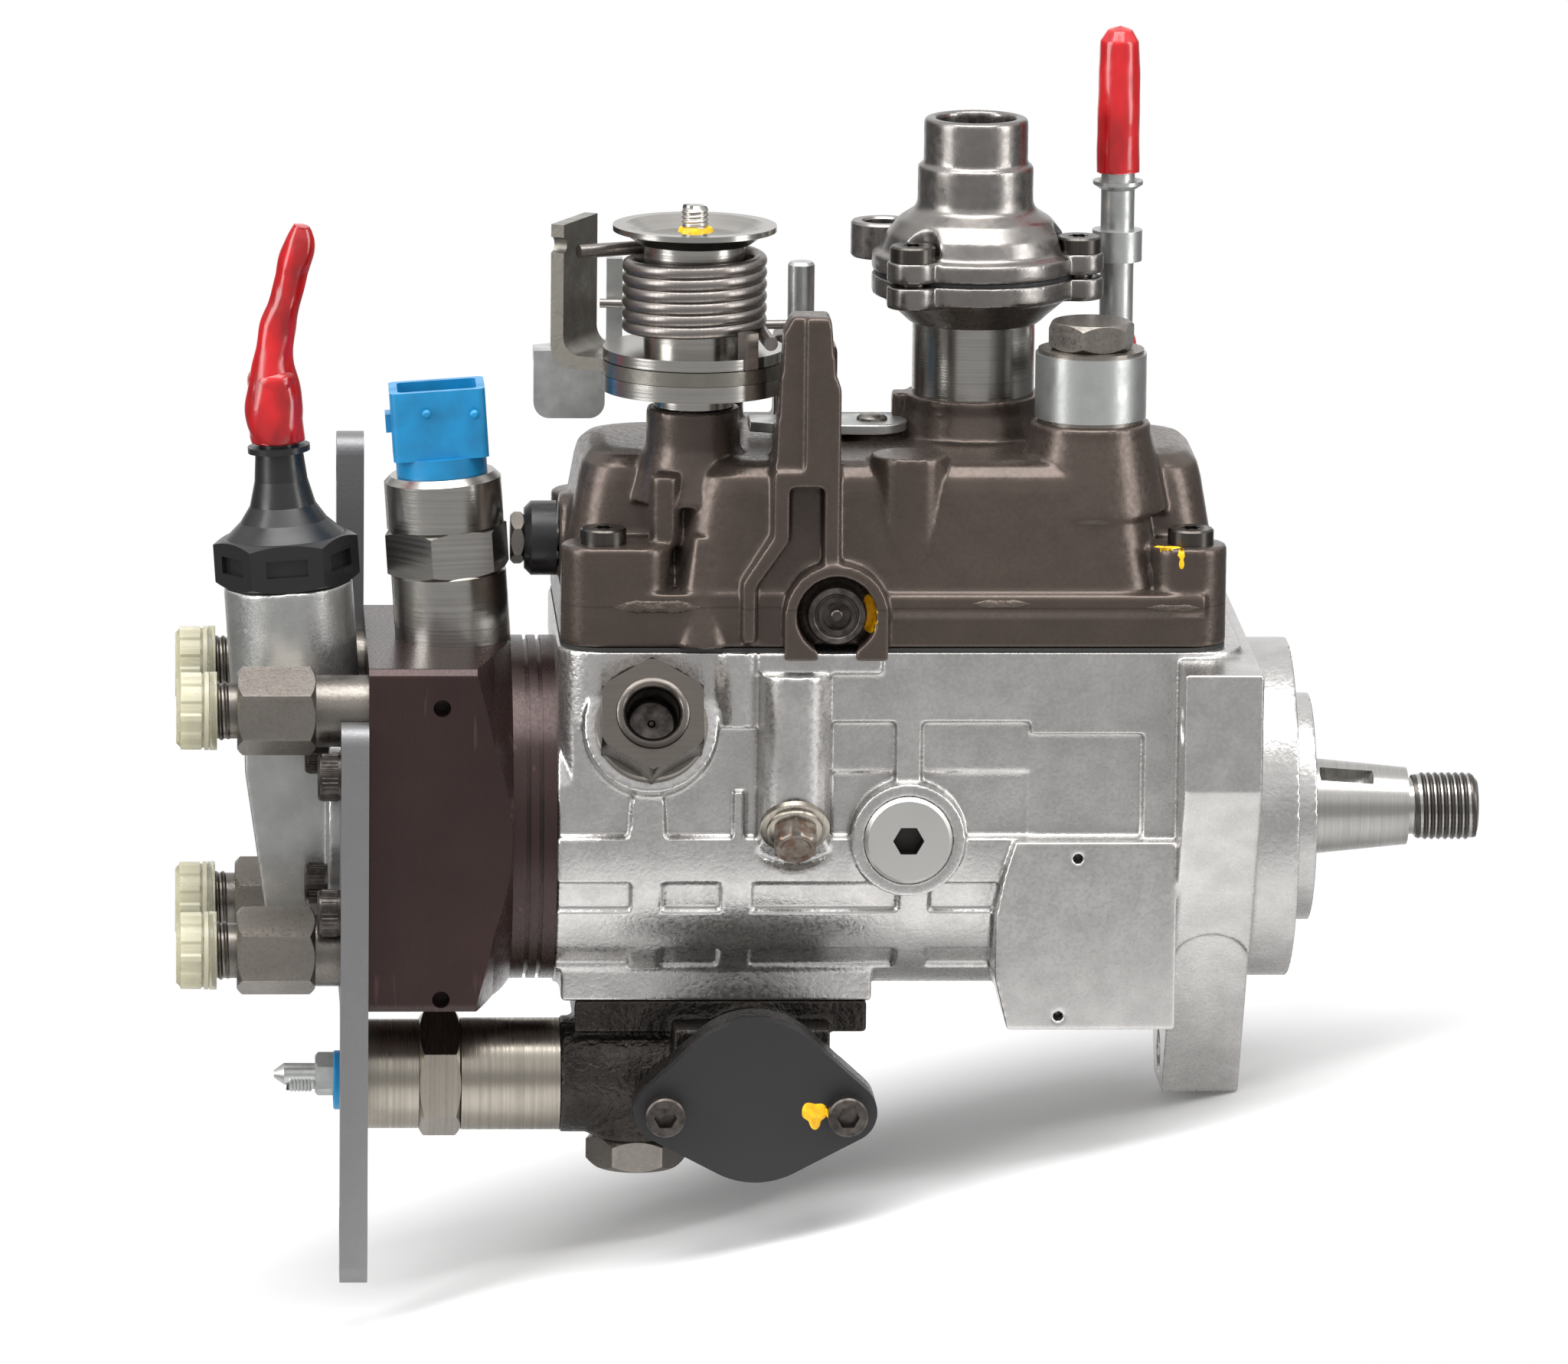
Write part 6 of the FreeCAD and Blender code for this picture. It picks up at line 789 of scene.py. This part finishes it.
# Cold start actuator: a turned and plated steel case with its hexagon, screwed into the advance unit, with a
# blue insulating washer and a terminal stud at its end.
terminal_foot = (-208.0, -12.0, -58.8)
washer_rim_outline = [(-0.5, 6.5), (1.2, 6.5), (1.5, 6.2), (1.5, 5.1), (-0.5, 5.0)]
paint(broken_edges("cold_start_actuator", width=0.35), case_steel)
paint(frame["nodes"]["actuator_washer"], blue_plastic)
paint(broken_edges("actuator_terminal", width=0.2), zinc)
spun("washer_rim", washer_rim_outline, terminal_foot, leftward,
     "actuator_washer", blue_plastic)
thread("terminal_thread", radius=2.35, pitch=0.8, start=5.9, length=5.6, foot=terminal_foot, axis=leftward,
       node="actuator_terminal", finish=zinc)
paint(broken_edges("under_bolt", width=0.25), grey_steel)

# Floor: a pale studio table. The pump leans on its bracket's foot and its flange, so the table slopes in the
# pump's own frame; it fades into the white background a little way off.
lean = math.tan(math.radians(13.4))
fade_centre, fade_from, fade_over = (-120.0, 0.0, -75.0), 90.0, 190.0
lowest = min([(thing.matrix_world @ vertex.co).z - lean * (thing.matrix_world @ vertex.co).x
              for thing in frame["nodes"].values() for vertex in thing.data.vertices])
corners = [(x, y, lowest + lean * x) for x, y in ((-1.6, -1.5), (1.4, -1.5), (1.4, 1.6), (-1.6, 1.6))]
table = bpy.data.meshes.new("floor")
table.from_pydata(corners, [], [(0, 1, 2, 3)])
floor = bpy.data.objects.new("floor", table)
bpy.context.scene.collection.objects.link(floor)
white_floor = Finish("white floor", (0.9, 0.9, 0.9, 1.0), metallic=0.0, roughness=0.9)
white_floor.set("Alpha", white_floor.patch(fade_centre, fade_from, fade_over))
paint(floor, white_floor)

# Lights: three softboxes, a broad one overhead and a tall one at each side, all turned to the pump. The sides
# give the metal its two long highlights.
pump_middle = Vector((-0.11, 0.0, 0.03))


def softbox(name, place, size, power):
    """A softbox at place, in metres, facing the pump."""
    light = bpy.data.lights.new(name, "AREA")
    light.shape = "RECTANGLE"
    light.size, light.size_y = size
    light.energy = power
    box = bpy.data.objects.new(name, light)
    bpy.context.scene.collection.objects.link(box)
    box.location = place
    box.rotation_euler = (pump_middle - Vector(place)).to_track_quat("-Z", "Y").to_euler()


softbox("top softbox", place=(-0.15, -0.25, 1.1), size=(1.3, 0.7), power=15.0)
softbox("left softbox", place=(-1.2, -0.45, 0.45), size=(0.5, 1.1), power=9.0)
softbox("right softbox", place=(1.0, -0.5, 0.4), size=(0.45, 1.1), power=8.0)

# Studio: a white room that the camera, metal and glass see, with a darker side behind the camera for the
# metal to reflect.
scene = bpy.context.scene
scene.view_settings.view_transform = "Standard"
white, dull_light, dark_side = (1.0, 1.0, 1.0, 1.0), (0.6, 0.6, 0.6, 1.0), (0.16, 0.158, 0.155, 1.0)
front_share = 0.42
world = bpy.data.worlds.new("studio")
scene.world = world
world.use_nodes = True
room = Recipe(world.node_tree)
direction = room.node("ShaderNodeTexCoord", {}, {}, "Generated")
depthwise = room.node("ShaderNodeSeparateXYZ", {}, {"Vector": direction}, "Y")
heightwise = room.node("ShaderNodeSeparateXYZ", {}, {"Vector": direction}, "Z")
front = room.between(depthwise, 0.15, -0.5)
back = room.between(depthwise, 0.82, 0.95)
above = room.between(heightwise, 0.2, 0.6)
mirrored = room.mixed(front * front_share + back + above, dark_side, white)
seen = room.node("ShaderNodeLightPath", {}, {}, "Is Camera Ray")
glossy = room.node("ShaderNodeLightPath", {}, {}, "Is Glossy Ray")
through = room.node("ShaderNodeLightPath", {}, {}, "Is Transmission Ray")
lit = room.mixed(glossy, dull_light, mirrored)
room.feed(world.node_tree.nodes["Background"].inputs["Color"], room.mixed(seen + through, lit, white))

# Camera: at the photograph's place, a little above the pump and nearly three metres off, with a long lens.
# The photograph is tilted by a little over half a degree.
photo_target = Vector((-0.1107, 0.0, 0.0278))
photo_place = Vector((-0.255, -2.7, 0.5678))
photo_roll = math.radians(0.6)
sensor = 36.0
photo_width = 2048
photo_scale = 0.000168
lens_camera = bpy.data.cameras.new("photo camera")
lens_camera.sensor_width = sensor
lens_camera.lens = sensor * (photo_target - photo_place).length / (photo_width * photo_scale)
lens_camera.clip_end = 50.0
camera = bpy.data.objects.new("photo camera", lens_camera)
scene.collection.objects.link(camera)
camera.location = photo_place
look = (photo_target - photo_place).to_track_quat("-Z", "Y")
camera.rotation_euler = (look.to_matrix() @ Matrix.Rotation(photo_roll, 3, "Z")).to_euler()
scene.camera = camera
